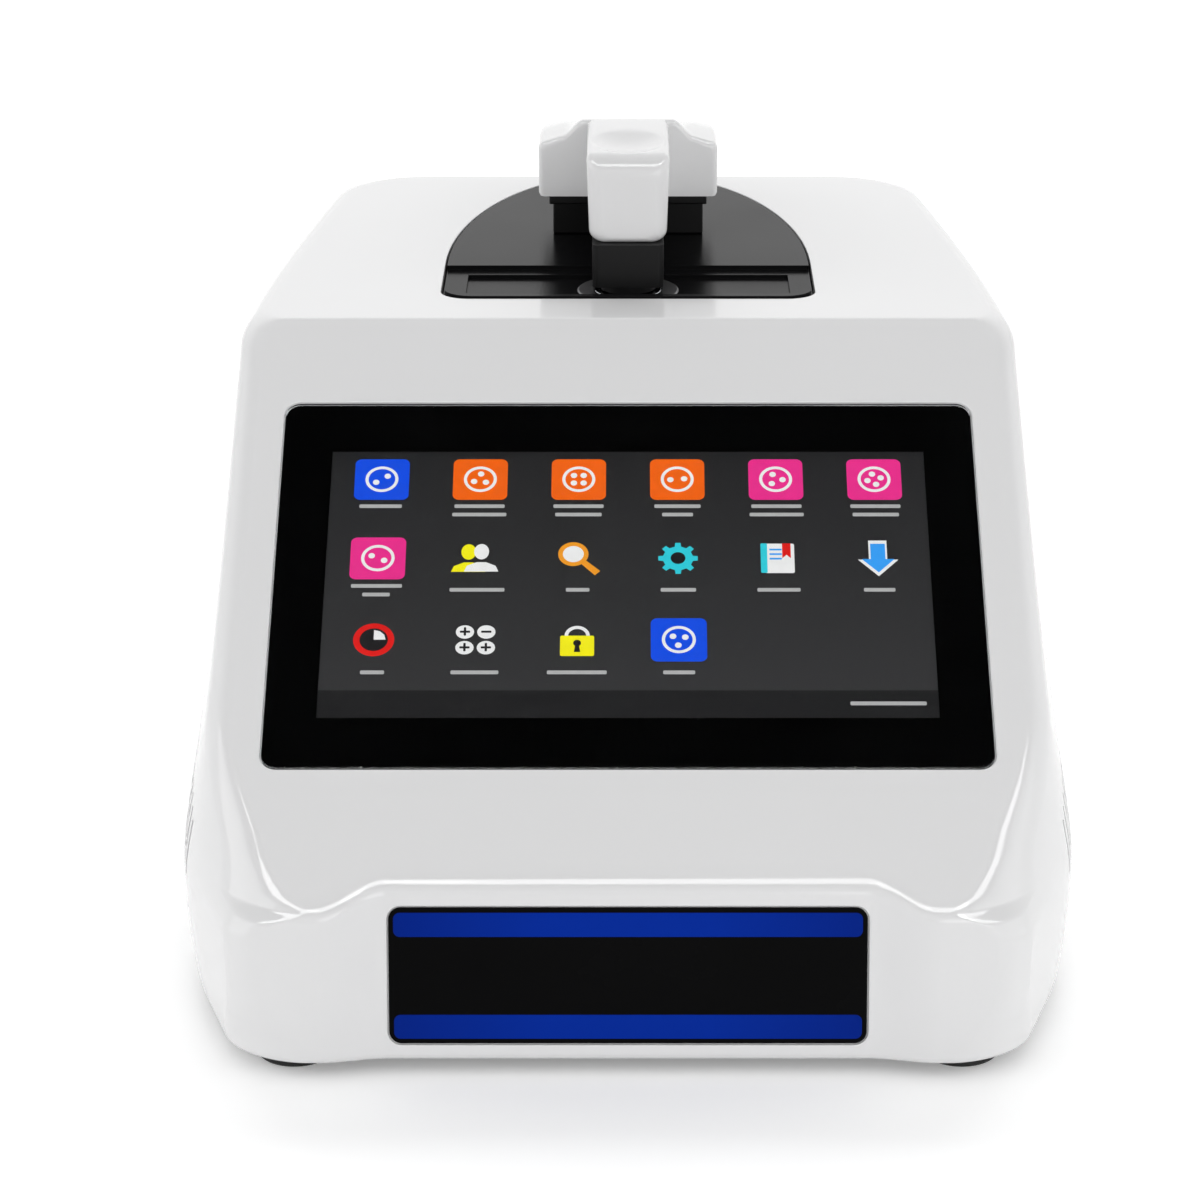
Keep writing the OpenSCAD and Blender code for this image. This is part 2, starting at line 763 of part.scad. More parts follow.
module objective() {
    color(brass) translate([0, axis_y, carriage_z]) rotate_extrude($fn = 72)
        polygon([
            [7, -6], [10, -6], [10, 12], [12.5, 12], [12.5, 27], [11, 29], [8, 34], [6, 35],
            [5, 35], [5, 30], [8, 20], [8, 0]
        ]);
}

beam_z = 52;

module mirror_mount() {
    color(black) translate([0, axis_y, beam_z]) difference() {
        translate([-14, -12, bench_low + 6 - beam_z]) cube([28, 24, beam_z - bench_low - 6 + 12]);
        rotate([45, 0, 0]) translate([-20, -30, 0]) cube([40, 60, 40]);
    }
}

module fold_mirror() {
    color([0.8, 0.85, 0.9]) translate([0, axis_y, beam_z]) rotate([45, 0, 0]) translate([-12, -12, 0]) cube([24, 24, 2]);
}

module tube_lens() {
    color(black) translate([0, 184, beam_z]) rotate([90, 0, 0]) difference() {
        cylinder(r = 13, h = 34, $fn = 64);
        translate([0, 0, -1]) cylinder(r = 10.5, h = 20, $fn = 64);
        translate([0, 0, 22]) cylinder(r = 10.5, h = 20, $fn = 64);
        cylinder(r = 4, h = 30, $fn = 48);
    }
}

module camera_module() {
    color([0.55, 0.1, 0.1]) translate([0, 150, beam_z]) difference() {
        translate([-18, -26, -18]) cube([36, 26, 36]);
        rotate([90, 0, 0]) translate([0, 0, -1]) cylinder(r = 9, h = 6, $fn = 48);
    }
}

module camera_bracket() {
    color(alloy) {
        box([-18, 118, bench_low], [18, 178, bench_low + 4]);
        box([-12, 124, bench_low + 4], [12, 150, beam_z - 18]);
        difference() {
            box([-10, 156, bench_low + 4], [10, 174, beam_z]);
            translate([0, 190, beam_z]) rotate([90, 0, 0]) cylinder(r = 13.03, h = 50, $fn = 64);
        }
    }
}

// ---------- arm ----------

nose_front = 196;
block_front = 236;
block_back = 306;
block_z = 160;
block_top = 177;
fall_y = 250;                // where the block's top starts to fall
nose_top = 181;              // top of the nose at its front
arm_wall = 2.2;
lug_half = 10;               // half width of the hinge lug
lug_r = 5.6;
cheek_r = 5.2;
chassis_half = 22.6;
chassis_z = 157;
tower_half = 21.8;
tower_z = 154;

// Top of the block's wings along its length
function block_crest(y) = block_top - 12 * pow(max(0, y - fall_y) / (block_back - fall_y), 1.5);

// Crest of the arm: the nose rises a little towards the block and sinks into its top
function crest(y) =
    y < block_front
        ? lerp(nose_top, arm_top, ease((y - 200) / 30))
        : block_crest(y) + (arm_top - block_top) * (1 - ease((y - block_front) / 24));

// Right half of the rear block's section: crest, S-shaped flare, rounded shoulder, side
function block_half_section(y, inset) =
    let(
        near = quarter(4, max(0, y - (block_back - 4))) + quarter(1.6, max(0, block_front + 1.6 - y)),
        w = block_half - inset - near,
        low = max(block_z + 2.6, block_crest(y) - 0.9 - inset - near),
        top = max(low + 0.4, crest(y) - inset - near),
        n = nose_half + 1.1 - inset,
        flare = 6.4
    )
    concat(
        [[0, top]],
        [for (i = [0:7]) let(t = i / 7) [n + flare * t, lerp(top, min(top, low + 1.2), ease(t))]],
        [[w - 3, low], [w - 1, low - 0.6], [w, low - 2.2], [w, block_z]]
    );

function mirrored(half, y) = concat(
    [for (p = half) [p.x, y, p.y]],
    [for (i = [len(half) - 1:-1:1]) [-half[i].x, y, half[i].y]]
);

// Nose section: rounded shoulders, with the finger scoop let into its top. Behind the
// front of the block the nose sinks into the crest.
nose_tail = 262;
nose_sink = 238.35;
function scoop(x, y) = 2 * pow(max(0, 1 - pow(x / 10.4, 2) - pow((y - 213) / 12, 2)), 1.1);
function nose_half_section(y) =
    let(
        near = quarter(4.5, max(0, nose_front + 4.5 - y)),
        sink = ease((y - nose_sink) / (nose_tail - nose_sink)),
        w = nose_half - near * 0.9 - 2.4 * sink,
        r = 1.8,
        top = crest(y) - quarter(6, max(0, nose_front + 6 - y)) - 3.5 * sink,
        low = y > nose_sink ? block_z + 6 : nose_z + quarter(1.5, max(0, nose_front + 1.5 - y))
    )
    concat(
        [for (i = [0:6]) let(x = (w - r) * i / 6) [x, top - scoop(x, y)]],
        [for (s = [30:30:90]) let(x = w - r + r * sin(s)) [x, top - r * (1 - cos(s)) - scoop(x, y)]],
        [[w - 0.25, 172], [w - 0.65, low + 3], [w - 1.5, low + 0.9], [w - 3.6, low]]
    );

module arm_cover() {
    color(white) difference() {
        union() {
            stack([for (y = [block_back, 305.5, 304.5, 303, 301, 296, 288, 278, 266, 254, 246, 240, 237.6, 236.5, block_front])
                mirrored(block_half_section(y, 0), y)]);
            stack([for (y = concat(
                    [nose_tail, 254, 247, 242, nose_sink + 0.05, nose_sink - 0.05],
                    [232, 226, 222, 218, 214.5, 211, 207.5, 204, 201, 199, 197.4, 196.5, nose_front]))
                mirrored(nose_half_section(y), y)]);
        }
        stack([for (y = [296, 290, 278, 266, 254, block_front + 3])
            [for (p = mirrored(block_half_section(y, arm_wall), y)) [p.x, p.y, p.z > block_z ? p.z : block_z - 1]]]);
        box([-tower_half - 0.6, 280, block_z - 1], [tower_half + 0.6, 301.5, 162.5]);
        box([-7.6, 200, nose_z - 1], [7.6, 245, 174]);
    }
}

module arm_chassis() {
    color(black) difference() {
        union() {
            box([-chassis_half, 238.5, chassis_z], [chassis_half, 272, block_z]);
            for (x = [-17, 14]) {
                box([x, 239.5, chassis_z], [x + 3, hinge_y, 165]);
                translate([x, hinge_y, hinge_z]) rotate([0, 90, 0]) cylinder(r = cheek_r, h = 3, $fn = 48);
            }
            box([-7.2, 207.4, 166], [7.2, 239.5, 169]);
            box([-17, 239.5, 163], [17, 243, 169]);
        }
        translate([-40, hinge_y, hinge_z]) rotate([0, 90, 0]) cylinder(r = shaft_r + 0.02, h = 80, $fn = 48);
    }
}

module hinge_shaft() {
    color(steel) translate([-20, hinge_y, hinge_z]) rotate([0, 90, 0]) cylinder(r = shaft_r, h = 40, $fn = 48);
}

module hinge_tower() {
    color(black) difference() {
        union() {
            box([-tower_half, 254, body_h], [tower_half, 293, tower_z]);
            box([-lug_half, hinge_y - lug_r, tower_z - 1], [lug_half, 293, hinge_z]);
            translate([-lug_half, hinge_y, hinge_z]) rotate([0, 90, 0]) cylinder(r = lug_r, h = 2 * lug_half, $fn = 48);
        }
        translate([-40, hinge_y, hinge_z]) rotate([0, 90, 0]) cylinder(r = shaft_r + 1.2, h = 80, $fn = 48);
    }
}

module hinge_bush(side) {
    color(brass) translate([side * lug_half, hinge_y, hinge_z]) rotate([0, -90 * side, 0]) difference() {
        union() {
            cylinder(r = shaft_r + 1.2, h = 8, $fn = 48);
            translate([0, 0, -1]) cylinder(r = shaft_r + 2.4, h = 1, $fn = 48);
        }
        translate([0, 0, -5]) cylinder(r = shaft_r + 0.05, h = 20, $fn = 48);
    }
}
module hinge_bush_left() { hinge_bush(-1); }
module hinge_bush_right() { hinge_bush(1); }

// Rubber pad that the lowered arm rests on
module arm_stop() {
    color(black) box([-8, 256, tower_z], [8, 262, chassis_z]);
}

snout_z = ring_top + sample_gap;
column_z = 144.6;
column_round = 1.8;

module optics_column() {
    color([0.08, 0.08, 0.085]) difference() {
        union() {
            translate([0, axis_y - 0.6, column_z]) linear_extrude(nose_z - column_z)
                offset(r = column_round, $fn = 32) square([19.8 - 2 * column_round, 14 - 2 * column_round], center = true);
            rod([0, axis_y, snout_z], 7.5, 4);
            rod([0, axis_y + 6.2, nose_z - 2], 6, 166 - nose_z + 2);
        }
        rod([0, axis_y, snout_z - 1], 5, 14);
    }
}

module upper_window() {
    color([0.75, 0.85, 0.9, 0.5]) rod([0, axis_y, snout_z], 5, 1.5);
}

module condenser_lens() {
    color([0.8, 0.9, 0.95, 0.5]) rod([0, axis_y, snout_z + 6], 5, 3);
}

module led_module() {
    color([0.9, 0.85, 0.3]) rod([0, axis_y, snout_z + 11], 5, 2);
}

in_place() top_shell();
in_place() base_tray();
in_place() rear_panel();
in_place() foot_front_left();
in_place() foot_front_right();
in_place() foot_rear_left();
in_place() foot_rear_right();
in_place() case_screws();
in_place() screen_glass();
in_place() screen_mask();
in_place() display_panel();
in_place() screen_frame();
in_place() display_ribbon();
in_place() ui_tiles_orange();
in_place() ui_tiles_magenta();
in_place() ui_tiles_blue();
in_place() ui_icons_white();
in_place() ui_icons_colour();
in_place() front_label();
in_place() label_bands();
in_place() stage_plate();
in_place() window_ring();
in_place() lower_window();
in_place() hinge_tower();
in_place() hinge_bush_left();
in_place() hinge_bush_right();
in_place() optical_bench();
in_place() guide_rod_left();
in_place() guide_rod_right();
in_place() screw_bearing();
in_place() focus_motor();
in_place() fold_mirror();
in_place() mirror_mount();
in_place() tube_lens();
in_place() camera_module();
in_place() camera_bracket();
in_place() main_board();
in_place() heat_sink();
in_place() board_posts();
in_place() usb_ports();
in_place() ethernet_port();
in_place() dc_inlet();
in_place() switch_bezel();
in_place() side_usb_port();
in_place() fan_frame();
in_place() arm_stop();
in_place() arm_cover();
in_place() arm_chassis();
in_place() optics_column();
in_place() upper_window();
in_place() led_module();
in_place() condenser_lens();
in_place() hinge_shaft();
in_place() focus_carriage();
in_place() objective();
in_place() lead_screw();
in_place() motor_coupling();
in_place() fan_rotor();
in_place() power_rocker();
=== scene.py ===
import json
import math

import bmesh
import bpy
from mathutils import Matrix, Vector


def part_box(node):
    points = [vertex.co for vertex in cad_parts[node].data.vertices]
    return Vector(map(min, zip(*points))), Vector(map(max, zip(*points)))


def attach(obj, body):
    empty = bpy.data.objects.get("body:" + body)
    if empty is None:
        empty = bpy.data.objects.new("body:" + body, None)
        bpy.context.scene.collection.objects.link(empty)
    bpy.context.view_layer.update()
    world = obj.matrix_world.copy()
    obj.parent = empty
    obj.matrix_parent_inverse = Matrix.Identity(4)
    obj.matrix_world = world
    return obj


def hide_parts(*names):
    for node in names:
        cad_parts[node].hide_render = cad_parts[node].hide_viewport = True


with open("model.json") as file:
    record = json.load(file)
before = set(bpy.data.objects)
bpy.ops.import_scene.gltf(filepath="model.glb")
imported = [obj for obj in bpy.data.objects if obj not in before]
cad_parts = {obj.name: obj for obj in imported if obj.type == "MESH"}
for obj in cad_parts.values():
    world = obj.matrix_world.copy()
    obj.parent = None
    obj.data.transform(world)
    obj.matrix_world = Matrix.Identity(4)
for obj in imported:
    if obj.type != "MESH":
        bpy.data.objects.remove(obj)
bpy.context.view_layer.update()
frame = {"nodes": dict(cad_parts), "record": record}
nodes = frame["nodes"]
record = frame["record"]
bodyOf = {node: body for body, names in record["behaviour"]["bodies"].items() for node in names}
slotOf = {part["node"]: part["material_slot"] for part in record["subparts"]}
scene = bpy.context.scene
mm = 0.001

# Shapes are worked out in millimetres, with depths counted from the foot of the front face.
casing = {
    "width": 225, "height": 144.3, "back": 330, "foot": 4, "wall": 3,
    "slopeAngle": 31.85, "faceRise": 43.3, "faceLean": 10, "pillarLean": 4.1,
    "recessDeep": 2.5, "recessHalf": 58, "recessBlend": 17,
    "cornerHalf": 98.9, "cornerY": 9.5, "flankFlare": 0.362,
    "shoulderIn": 8.6, "tuckIn": 2.6, "tuckZ": 35,
    "taperY": 165, "rearTaper": 17, "rearRound": 20,
    "topRound": 6.5, "footRound": 2, "creaseRound": 2.6, "cornerRound": 18, "cornerSoft": 0.45,
    # how far the front corner's curve runs across and back, at three heights
    "cornerFoot": (16, 14), "cornerPillar": (7, 7), "cornerSlope": (6.2, 11.7),
    "flankBlend": 5, "frontBlend": 4,
}
screen = {
    "glassW": 181, "glassH": 118.7, "glassT": 1.1, "glassUp": 34.6, "corner": 4,
    "viewUp": 93.85, "viewH": 87, "holeW": 169, "holeH": 103, "inkDepth": 1.7,
    "columns": 6, "columnPitch": 25.7, "rowPitch": 26.4, "firstRow": 34.2,
}
label = {"w": 115.5, "h": 33.8, "corner": 3, "up": 21.36, "bandH": 6, "bandUp": 12.7}
gap = 0.35  # round every inset part
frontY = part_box("top_shell")[1].y / mm - casing["back"]


def lerp(a, b, t):
    return a + (b - a) * t


def unit(t):
    return min(1, max(0, t))


def ease(t):
    u = unit(t)
    return u * u * (3 - 2 * u)


def softMax(a, b, k):
    return max(a, b) + max(k - abs(a - b), 0) ** 2 / (4 * k)


def softMin(a, b, k):
    return min(a, b) - max(k - abs(a - b), 0) ** 2 / (4 * k)


def quarter(r, t):
    return r - math.sqrt(max(0, r * r - t * t))


def span(start, end, count):
    return [lerp(start, end, i / (count - 1)) for i in range(count)]


slope = math.radians(casing["slopeAngle"])
lean = math.radians(casing["faceLean"])
faceTopY = casing["faceRise"] * math.tan(lean)
faceTopZ = casing["foot"] + casing["faceRise"]
creaseY = faceTopY + (casing["height"] - faceTopZ) / math.tan(slope)
pillarRun = math.tan(math.radians(casing["pillarLean"]))
pillarTopZ = (
    (faceTopZ / math.tan(slope) - faceTopY - casing["foot"] * pillarRun - casing["recessDeep"])
    / (1 / math.tan(slope) - pillarRun)
)


def straight(x, y, z):
    return (x, y, z)


def onSlope(u, v, n):
    return (
        u,
        faceTopY + v * math.cos(slope) - n * math.sin(slope),
        faceTopZ + v * math.sin(slope) + n * math.cos(slope),
    )


def onFace(u, v, n):
    return (
        u,
        v * math.sin(lean) - n * math.cos(lean),
        casing["foot"] + v * math.cos(lean) + n * math.sin(lean),
    )


def newObject(name, mesh):
    obj = bpy.data.objects.new(name, mesh)
    scene.collection.objects.link(obj)
    return obj


def meshFrom(name, points, faces):
    mesh = bpy.data.meshes.new(name)
    mesh.from_pydata([(x * mm, (y + frontY) * mm, z * mm) for x, y, z in points], [], faces)
    bm = bmesh.new()
    bm.from_mesh(mesh)
    bmesh.ops.recalc_face_normals(bm, faces=bm.faces)
    bm.to_mesh(mesh)
    bm.free()
    return newObject(name, mesh)


def plain(obj):
    mesh = bpy.data.meshes.new_from_object(obj.evaluated_get(bpy.context.evaluated_depsgraph_get()))
    obj.modifiers.clear()
    obj.data = mesh
    return obj


def smooth(obj, angle=32):
    obj.data.shade_smooth()
    obj.data.set_sharp_from_angle(angle=math.radians(angle))
    weights = obj.modifiers.new("faceWeights", "WEIGHTED_NORMAL")
    weights.keep_sharp = True
    weights.weight = 50
    return plain(obj)


def cut(obj, cutters, mode="DIFFERENCE"):
    for cutter in cutters:
        step = obj.modifiers.new("cut", "BOOLEAN")
        step.operation = mode
        step.solver = "MANIFOLD"
        step.object = cutter
    plain(obj)
    for cutter in cutters:
        bpy.data.objects.remove(cutter)
    return obj


def assign(obj, material):
    obj.data.materials.clear()
    obj.data.materials.append(material)
    for face in obj.data.polygons:
        face.material_index = 0


def fit(obj, body, slot, material, *replaced):
    assign(obj, material)
    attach(obj, body)
    if replaced:
        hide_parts(*replaced)
    return obj


def joined(name, parts):
    bm = bmesh.new()
    for part in parts:
        bm.from_mesh(part.data)
        bpy.data.objects.remove(part)
    mesh = bpy.data.meshes.new(name)
    bm.to_mesh(mesh)
    bm.free()
    return newObject(name, mesh)


# A closed solid through rings of equal length, with a flat lid at each end
def stack(name, rings):
    n = len(rings[0])
    points = [p for ring in rings for p in ring]
    faces = [tuple(range(n))[::-1], tuple(range((len(rings) - 1) * n, len(rings) * n))]
    for i in range(len(rings) - 1):
        for j in range(n):
            k = (j + 1) % n
            faces.append((i * n + j, i * n + k, (i + 1) * n + k, (i + 1) * n + j))
    return meshFrom(name, points, faces)


def prism(name, outline, profile, place=straight):
    return stack(name, [[place(u, v, n) for u, v in outline(grow)] for n, grow in profile])


def roundRect(w, h, r, centre=(0, 0), steps=10):
    def outline(grow):
        radius = max(r + grow, 0.02)
        points = []
        for sx, sy, start in ((1, 1, 0), (-1, 1, 90), (-1, -1, 180), (1, -1, 270)):
            cx = centre[0] + sx * (w / 2 + grow - radius)
            cy = centre[1] + sy * (h / 2 + grow - radius)
            for i in range(steps + 1):
                a = math.radians(start + 90 * i / steps)
                points.append((cx + radius * math.cos(a), cy + radius * math.sin(a)))
        return points
    return outline


def disc(r, centre=(0, 0), steps=48):
    def outline(grow):
        return [
            (centre[0] + (r + grow) * math.cos(2 * math.pi * i / steps),
             centre[1] + (r + grow) * math.sin(2 * math.pi * i / steps))
            for i in range(steps)
        ]
    return outline


# Heights and growths of a cutter with a rounded rim at the surface
def pocket(depth, rim, steps=5):
    arc = [90 * i / steps for i in range(steps + 1)]
    rounded = [
        (0.01 - rim + rim * math.sin(math.radians(a)), rim - rim * math.cos(math.radians(a)))
        for a in arc
    ]
    return [(-depth, 0)] + rounded + [(6, rim)]


# Heights and growths of a plate from low to high with rounded rims on its top
def plateProfile(low, high, rim, steps=4):
    arc = [90 * i / steps for i in range(steps + 1)]
    return [(low, 0)] + [
        (high - rim + rim * math.sin(math.radians(a)), rim * math.cos(math.radians(a)) - rim)
        for a in arc
    ]


def shader(name):
    material = bpy.data.materials.new(name)
    material.use_nodes = True
    tree = material.node_tree
    surface = tree.nodes["Principled BSDF"]
    place = tree.nodes.new("ShaderNodeTexCoord").outputs["Object"]
    return material, tree, surface, place


def noise(tree, place, scale, detail=4, stretch=(1, 1, 1)):
    node = tree.nodes.new("ShaderNodeTexNoise")
    node.inputs["Scale"].default_value = scale
    node.inputs["Detail"].default_value = detail
    mapping = tree.nodes.new("ShaderNodeMapping")
    mapping.inputs["Scale"].default_value = stretch
    tree.links.new(place, mapping.inputs["Vector"])
    tree.links.new(mapping.outputs["Vector"], node.inputs["Vector"])
    return node.outputs["Fac"]


def ranged(tree, value, low, high, start=0.3, end=0.7):
    node = tree.nodes.new("ShaderNodeMapRange")
    tree.links.new(value, node.inputs["Value"])
    node.inputs["From Min"].default_value = start
    node.inputs["From Max"].default_value = end
    node.inputs["To Min"].default_value = low
    node.inputs["To Max"].default_value = high
    return node.outputs["Result"]


def blendColours(tree, factor, first, second):
    node = tree.nodes.new("ShaderNodeMix")
    node.data_type = "RGBA"
    tree.links.new(factor, node.inputs["Factor"])
    node.inputs["A"].default_value = (*first, 1)
    node.inputs["B"].default_value = (*second, 1)
    return node.outputs["Result"]


def bump(tree, surface, height, distance, strength=1.0):
    node = tree.nodes.new("ShaderNodeBump")
    node.inputs["Distance"].default_value = distance
    node.inputs["Strength"].default_value = strength
    tree.links.new(height, node.inputs["Height"])
    tree.links.new(node.outputs["Normal"], surface.inputs["Normal"])


# Colour that drifts a little, roughness that varies, and a fine relief
def finish(name, colour, rough, drift, grain, relief, patch, stretch=(1, 1, 1), **sockets):
    material, tree, surface, place = shader(name)
    wide = noise(tree, place, patch, 5)
    fine = noise(tree, place, grain, 3, stretch)
    darker = tuple(c * (1 - drift) for c in colour)
    tone = blendColours(tree, ranged(tree, wide, 0, 1), darker, colour)
    tree.links.new(tone, surface.inputs["Base Color"])
    tree.links.new(ranged(tree, wide, rough[0], rough[1]), surface.inputs["Roughness"])
    if relief:
        bump(tree, surface, fine, relief)
    for socket, value in sockets.items():
        surface.inputs[socket.replace("_", " ")].default_value = value
    return material


# Each look: colour, least and most roughness, drift, grain, relief in metres, patch, stretch
whiteGloss = finish("whiteGloss", (0.8, 0.8, 0.805), (0.07, 0.12), 0.012, 260, 0.000002, 9)
blackGloss = finish(
    "blackGloss", (0.006, 0.006, 0.0065), (0.16, 0.24), 0.15, 1400, 0.000004, 22,
    Specular_IOR_Level=0.06,
)
blackSatin = finish(
    "blackSatin", (0.004, 0.004, 0.0043), (0.36, 0.46), 0.2, 1800, 0.00002, 30,
    Specular_IOR_Level=0.18,
)
blackTextured = finish("blackTextured", (0.022, 0.022, 0.024), (0.5, 0.62), 0.2, 2600, 0.00006, 26)
rubber = finish("rubber", (0.006, 0.006, 0.006), (0.7, 0.85), 0.25, 2200, 0.00005, 60)
labelBlack = finish(
    "labelBlack", (0.0022, 0.0022, 0.0024), (0.2, 0.3), 0.2, 700, 0.000003, 30,
    Specular_IOR_Level=0.03,
)
maskBlack = finish(
    "maskBlack", (0.0006, 0.0006, 0.0006), (0.35, 0.5), 0.2, 900, 0, 30,
    Specular_IOR_Level=0.02,
)
turnedSteel = finish(
    "turnedSteel", (0.6, 0.61, 0.63), (0.2, 0.32), 0.1, 1500, 0.00001, 60,
    (1, 1, 12), Metallic=1,
)
brushedSteel = finish(
    "brushedSteel", (0.55, 0.56, 0.58), (0.26, 0.38), 0.1, 700, 0.00001, 40,
    (12, 1, 1), Metallic=1,
)
machinedAlloy = finish(
    "machinedAlloy", (0.62, 0.63, 0.65), (0.3, 0.44), 0.12, 600, 0.00002, 25,
    (1, 10, 1), Metallic=1,
)
satinAlloy = finish("satinAlloy", (0.2, 0.2, 0.205), (0.34, 0.44), 0.1, 1400, 0.00001, 50, Metallic=1)
brass = finish("brass", (0.66, 0.5, 0.22), (0.22, 0.36), 0.12, 1300, 0.00001, 60, (1, 1, 8), Metallic=1)
darkPaint = finish("darkPaint", (0.03, 0.03, 0.033), (0.34, 0.46), 0.2, 1500, 0.00003, 40)
mirrorCoat = finish("mirrorCoat", (0.86, 0.87, 0.88), (0.02, 0.04), 0.02, 400, 0, 20, Metallic=1)
ribbonFilm = finish("ribbonFilm", (0.5, 0.46, 0.36), (0.35, 0.5), 0.15, 900, 0.00002, 60)
markWhite = finish("markWhite", (0.8, 0.8, 0.79), (0.35, 0.5), 0.08, 1500, 0.000005, 60)
phosphor = finish("phosphor", (0.75, 0.62, 0.08), (0.5, 0.65), 0.15, 1500, 0.00002, 90)


def clear(name, tint, rough, ior=1.5):
    material, tree, surface, place = shader(name)
    smear = noise(tree, place, 18, 5)
    tree.links.new(ranged(tree, smear, rough[0], rough[1], 0.45, 0.8), surface.inputs["Roughness"])
    surface.inputs["Base Color"].default_value = (*tint, 1)
    surface.inputs["Transmission Weight"].default_value = 1
    surface.inputs["IOR"].default_value = ior
    return material


coverGlass = clear("coverGlass", (0.97, 0.98, 0.99), (0.0, 0.006), 1.33)
windowGlass = clear("windowGlass", (0.93, 0.97, 1), (0.0, 0.01))


# Lit ink or panel: colour comes from the light behind it
def lit(name, colour, drift=0.06):
    material, tree, surface, place = shader(name)
    mottle = noise(tree, place, 400, 2)
    darker = tuple(c * (1 - drift) for c in colour)
    tone = blendColours(tree, ranged(tree, mottle, 0, 1), darker, colour)
    tree.links.new(tone, surface.inputs["Emission Color"])
    surface.inputs["Emission Strength"].default_value = 1
    surface.inputs["Base Color"].default_value = (0.004, 0.004, 0.004, 1)
    surface.inputs["Roughness"].default_value = 0.6
    surface.inputs["Specular IOR Level"].default_value = 0.05
    return material


litOrange = lit("litOrange", (0.93, 0.13, 0.004))
litMagenta = lit("litMagenta", (0.86, 0.028, 0.27))
litBlue = lit("litBlue", (0.004, 0.075, 0.8))
litSky = lit("litSky", (0.04, 0.36, 0.95))
litWhite = lit("litWhite", (0.88, 0.88, 0.87))
litSoft = lit("litSoft", (0.46, 0.46, 0.455))
litCyan = lit("litCyan", (0.03, 0.62, 0.72))
litAmber = lit("litAmber", (0.9, 0.34, 0.02))
litYellow = lit("litYellow", (0.95, 0.88, 0.01))
litRed = lit("litRed", (0.75, 0.012, 0.01))
litDark = lit("litDark", (0.012, 0.012, 0.013))


picture = {
    "low": (0.032, 0.032, 0.033), "high": (0.013, 0.013, 0.0135),
    "strip": 9, "stripTone": (0.0095, 0.0095, 0.0098),
}


# Display picture: grey that lightens down the screen, with a darker strip along its foot
def panelGlow():
    material, tree, surface, place = shader("panelGlow")
    centre = onSlope(0, screen["viewUp"], 0)
    mapping = tree.nodes.new("ShaderNodeMapping")
    mapping.vector_type = "TEXTURE"
    mapping.inputs["Location"].default_value = (0, (centre[1] + frontY) * mm, centre[2] * mm)
    mapping.inputs["Rotation"].default_value = (slope, 0, 0)
    split = tree.nodes.new("ShaderNodeSeparateXYZ")
    tree.links.new(place, mapping.inputs["Vector"])
    tree.links.new(mapping.outputs["Vector"], split.inputs["Vector"])
    up = split.outputs["Y"]
    half = screen["viewH"] / 2 * mm
    stripTop = -half + picture["strip"] * mm
    tone = blendColours(tree, ranged(tree, up, 0, 1, -half, half), picture["low"], picture["high"])
    strip = ranged(tree, up, 0, 1, stripTop - 0.0001, stripTop + 0.0001)
    node = tree.nodes.new("ShaderNodeMix")
    node.data_type = "RGBA"
    tree.links.new(strip, node.inputs["Factor"])
    tree.links.new(tone, node.inputs["B"])
    node.inputs["A"].default_value = (*picture["stripTone"], 1)
    tree.links.new(node.outputs["Result"], surface.inputs["Emission Color"])
    surface.inputs["Emission Strength"].default_value = 1
    surface.inputs["Base Color"].default_value = (0.004, 0.004, 0.004, 1)
    surface.inputs["Roughness"].default_value = 0.5
    surface.inputs["Specular IOR Level"].default_value = 0.1
    return material


# Blue ink that darkens a little towards both ends of a band
def bandInk():
    material, tree, surface, place = shader("bandInk")
    split = tree.nodes.new("ShaderNodeSeparateXYZ")
    tree.links.new(place, split.inputs["Vector"])
    reach = tree.nodes.new("ShaderNodeMath")
    reach.operation = "ABSOLUTE"
    tree.links.new(split.outputs["X"], reach.inputs[0])
    ends = ranged(tree, reach.outputs["Value"], 0, 1, 0.02, 0.058)
    tone = blendColours(tree, ends, (0.001, 0.026, 0.33), (0.001, 0.018, 0.24))
    tree.links.new(tone, surface.inputs["Base Color"])
    fine = noise(tree, place, 1100, 3)
    tree.links.new(ranged(tree, fine, 0.28, 0.38), surface.inputs["Roughness"])
    surface.inputs["Specular IOR Level"].default_value = 0.03
    return material


# Solder mask with the paler lines of copper under it
def boardMask():
    material, tree, surface, place = shader("boardMask")
    grid = tree.nodes.new("ShaderNodeTexBrick")
    grid.inputs["Scale"].default_value = 160
    grid.inputs["Mortar Size"].default_value = 0.03
    grid.inputs["Color1"].default_value = (0.006, 0.085, 0.035, 1)
    grid.inputs["Color2"].default_value = (0.009, 0.11, 0.045, 1)
    grid.inputs["Mortar"].default_value = (0.03, 0.2, 0.08, 1)
    tree.links.new(place, grid.inputs["Vector"])
    tree.links.new(grid.outputs["Color"], surface.inputs["Base Color"])
    tree.links.new(ranged(tree, noise(tree, place, 300), 0.25, 0.4), surface.inputs["Roughness"])
    return material


panelPicture = panelGlow()
blueInk = bandInk()
circuitBoard = boardMask()
print("materials made")

# Depth of the slope at height z, rounded where it meets the flat top
def slopeY(z):
    crest = casing["height"] - z
    r = casing["creaseRound"]
    middle = creaseY + r * math.tan(slope / 2)
    if crest < r - r * math.cos(slope):
        return middle - math.sqrt(max(0, r * r - (r - crest) ** 2))
    return faceTopY + (z - faceTopZ) / math.tan(slope)


def slopeZ(y):
    return min(casing["height"], faceTopZ + (y - faceTopY) * math.tan(slope))


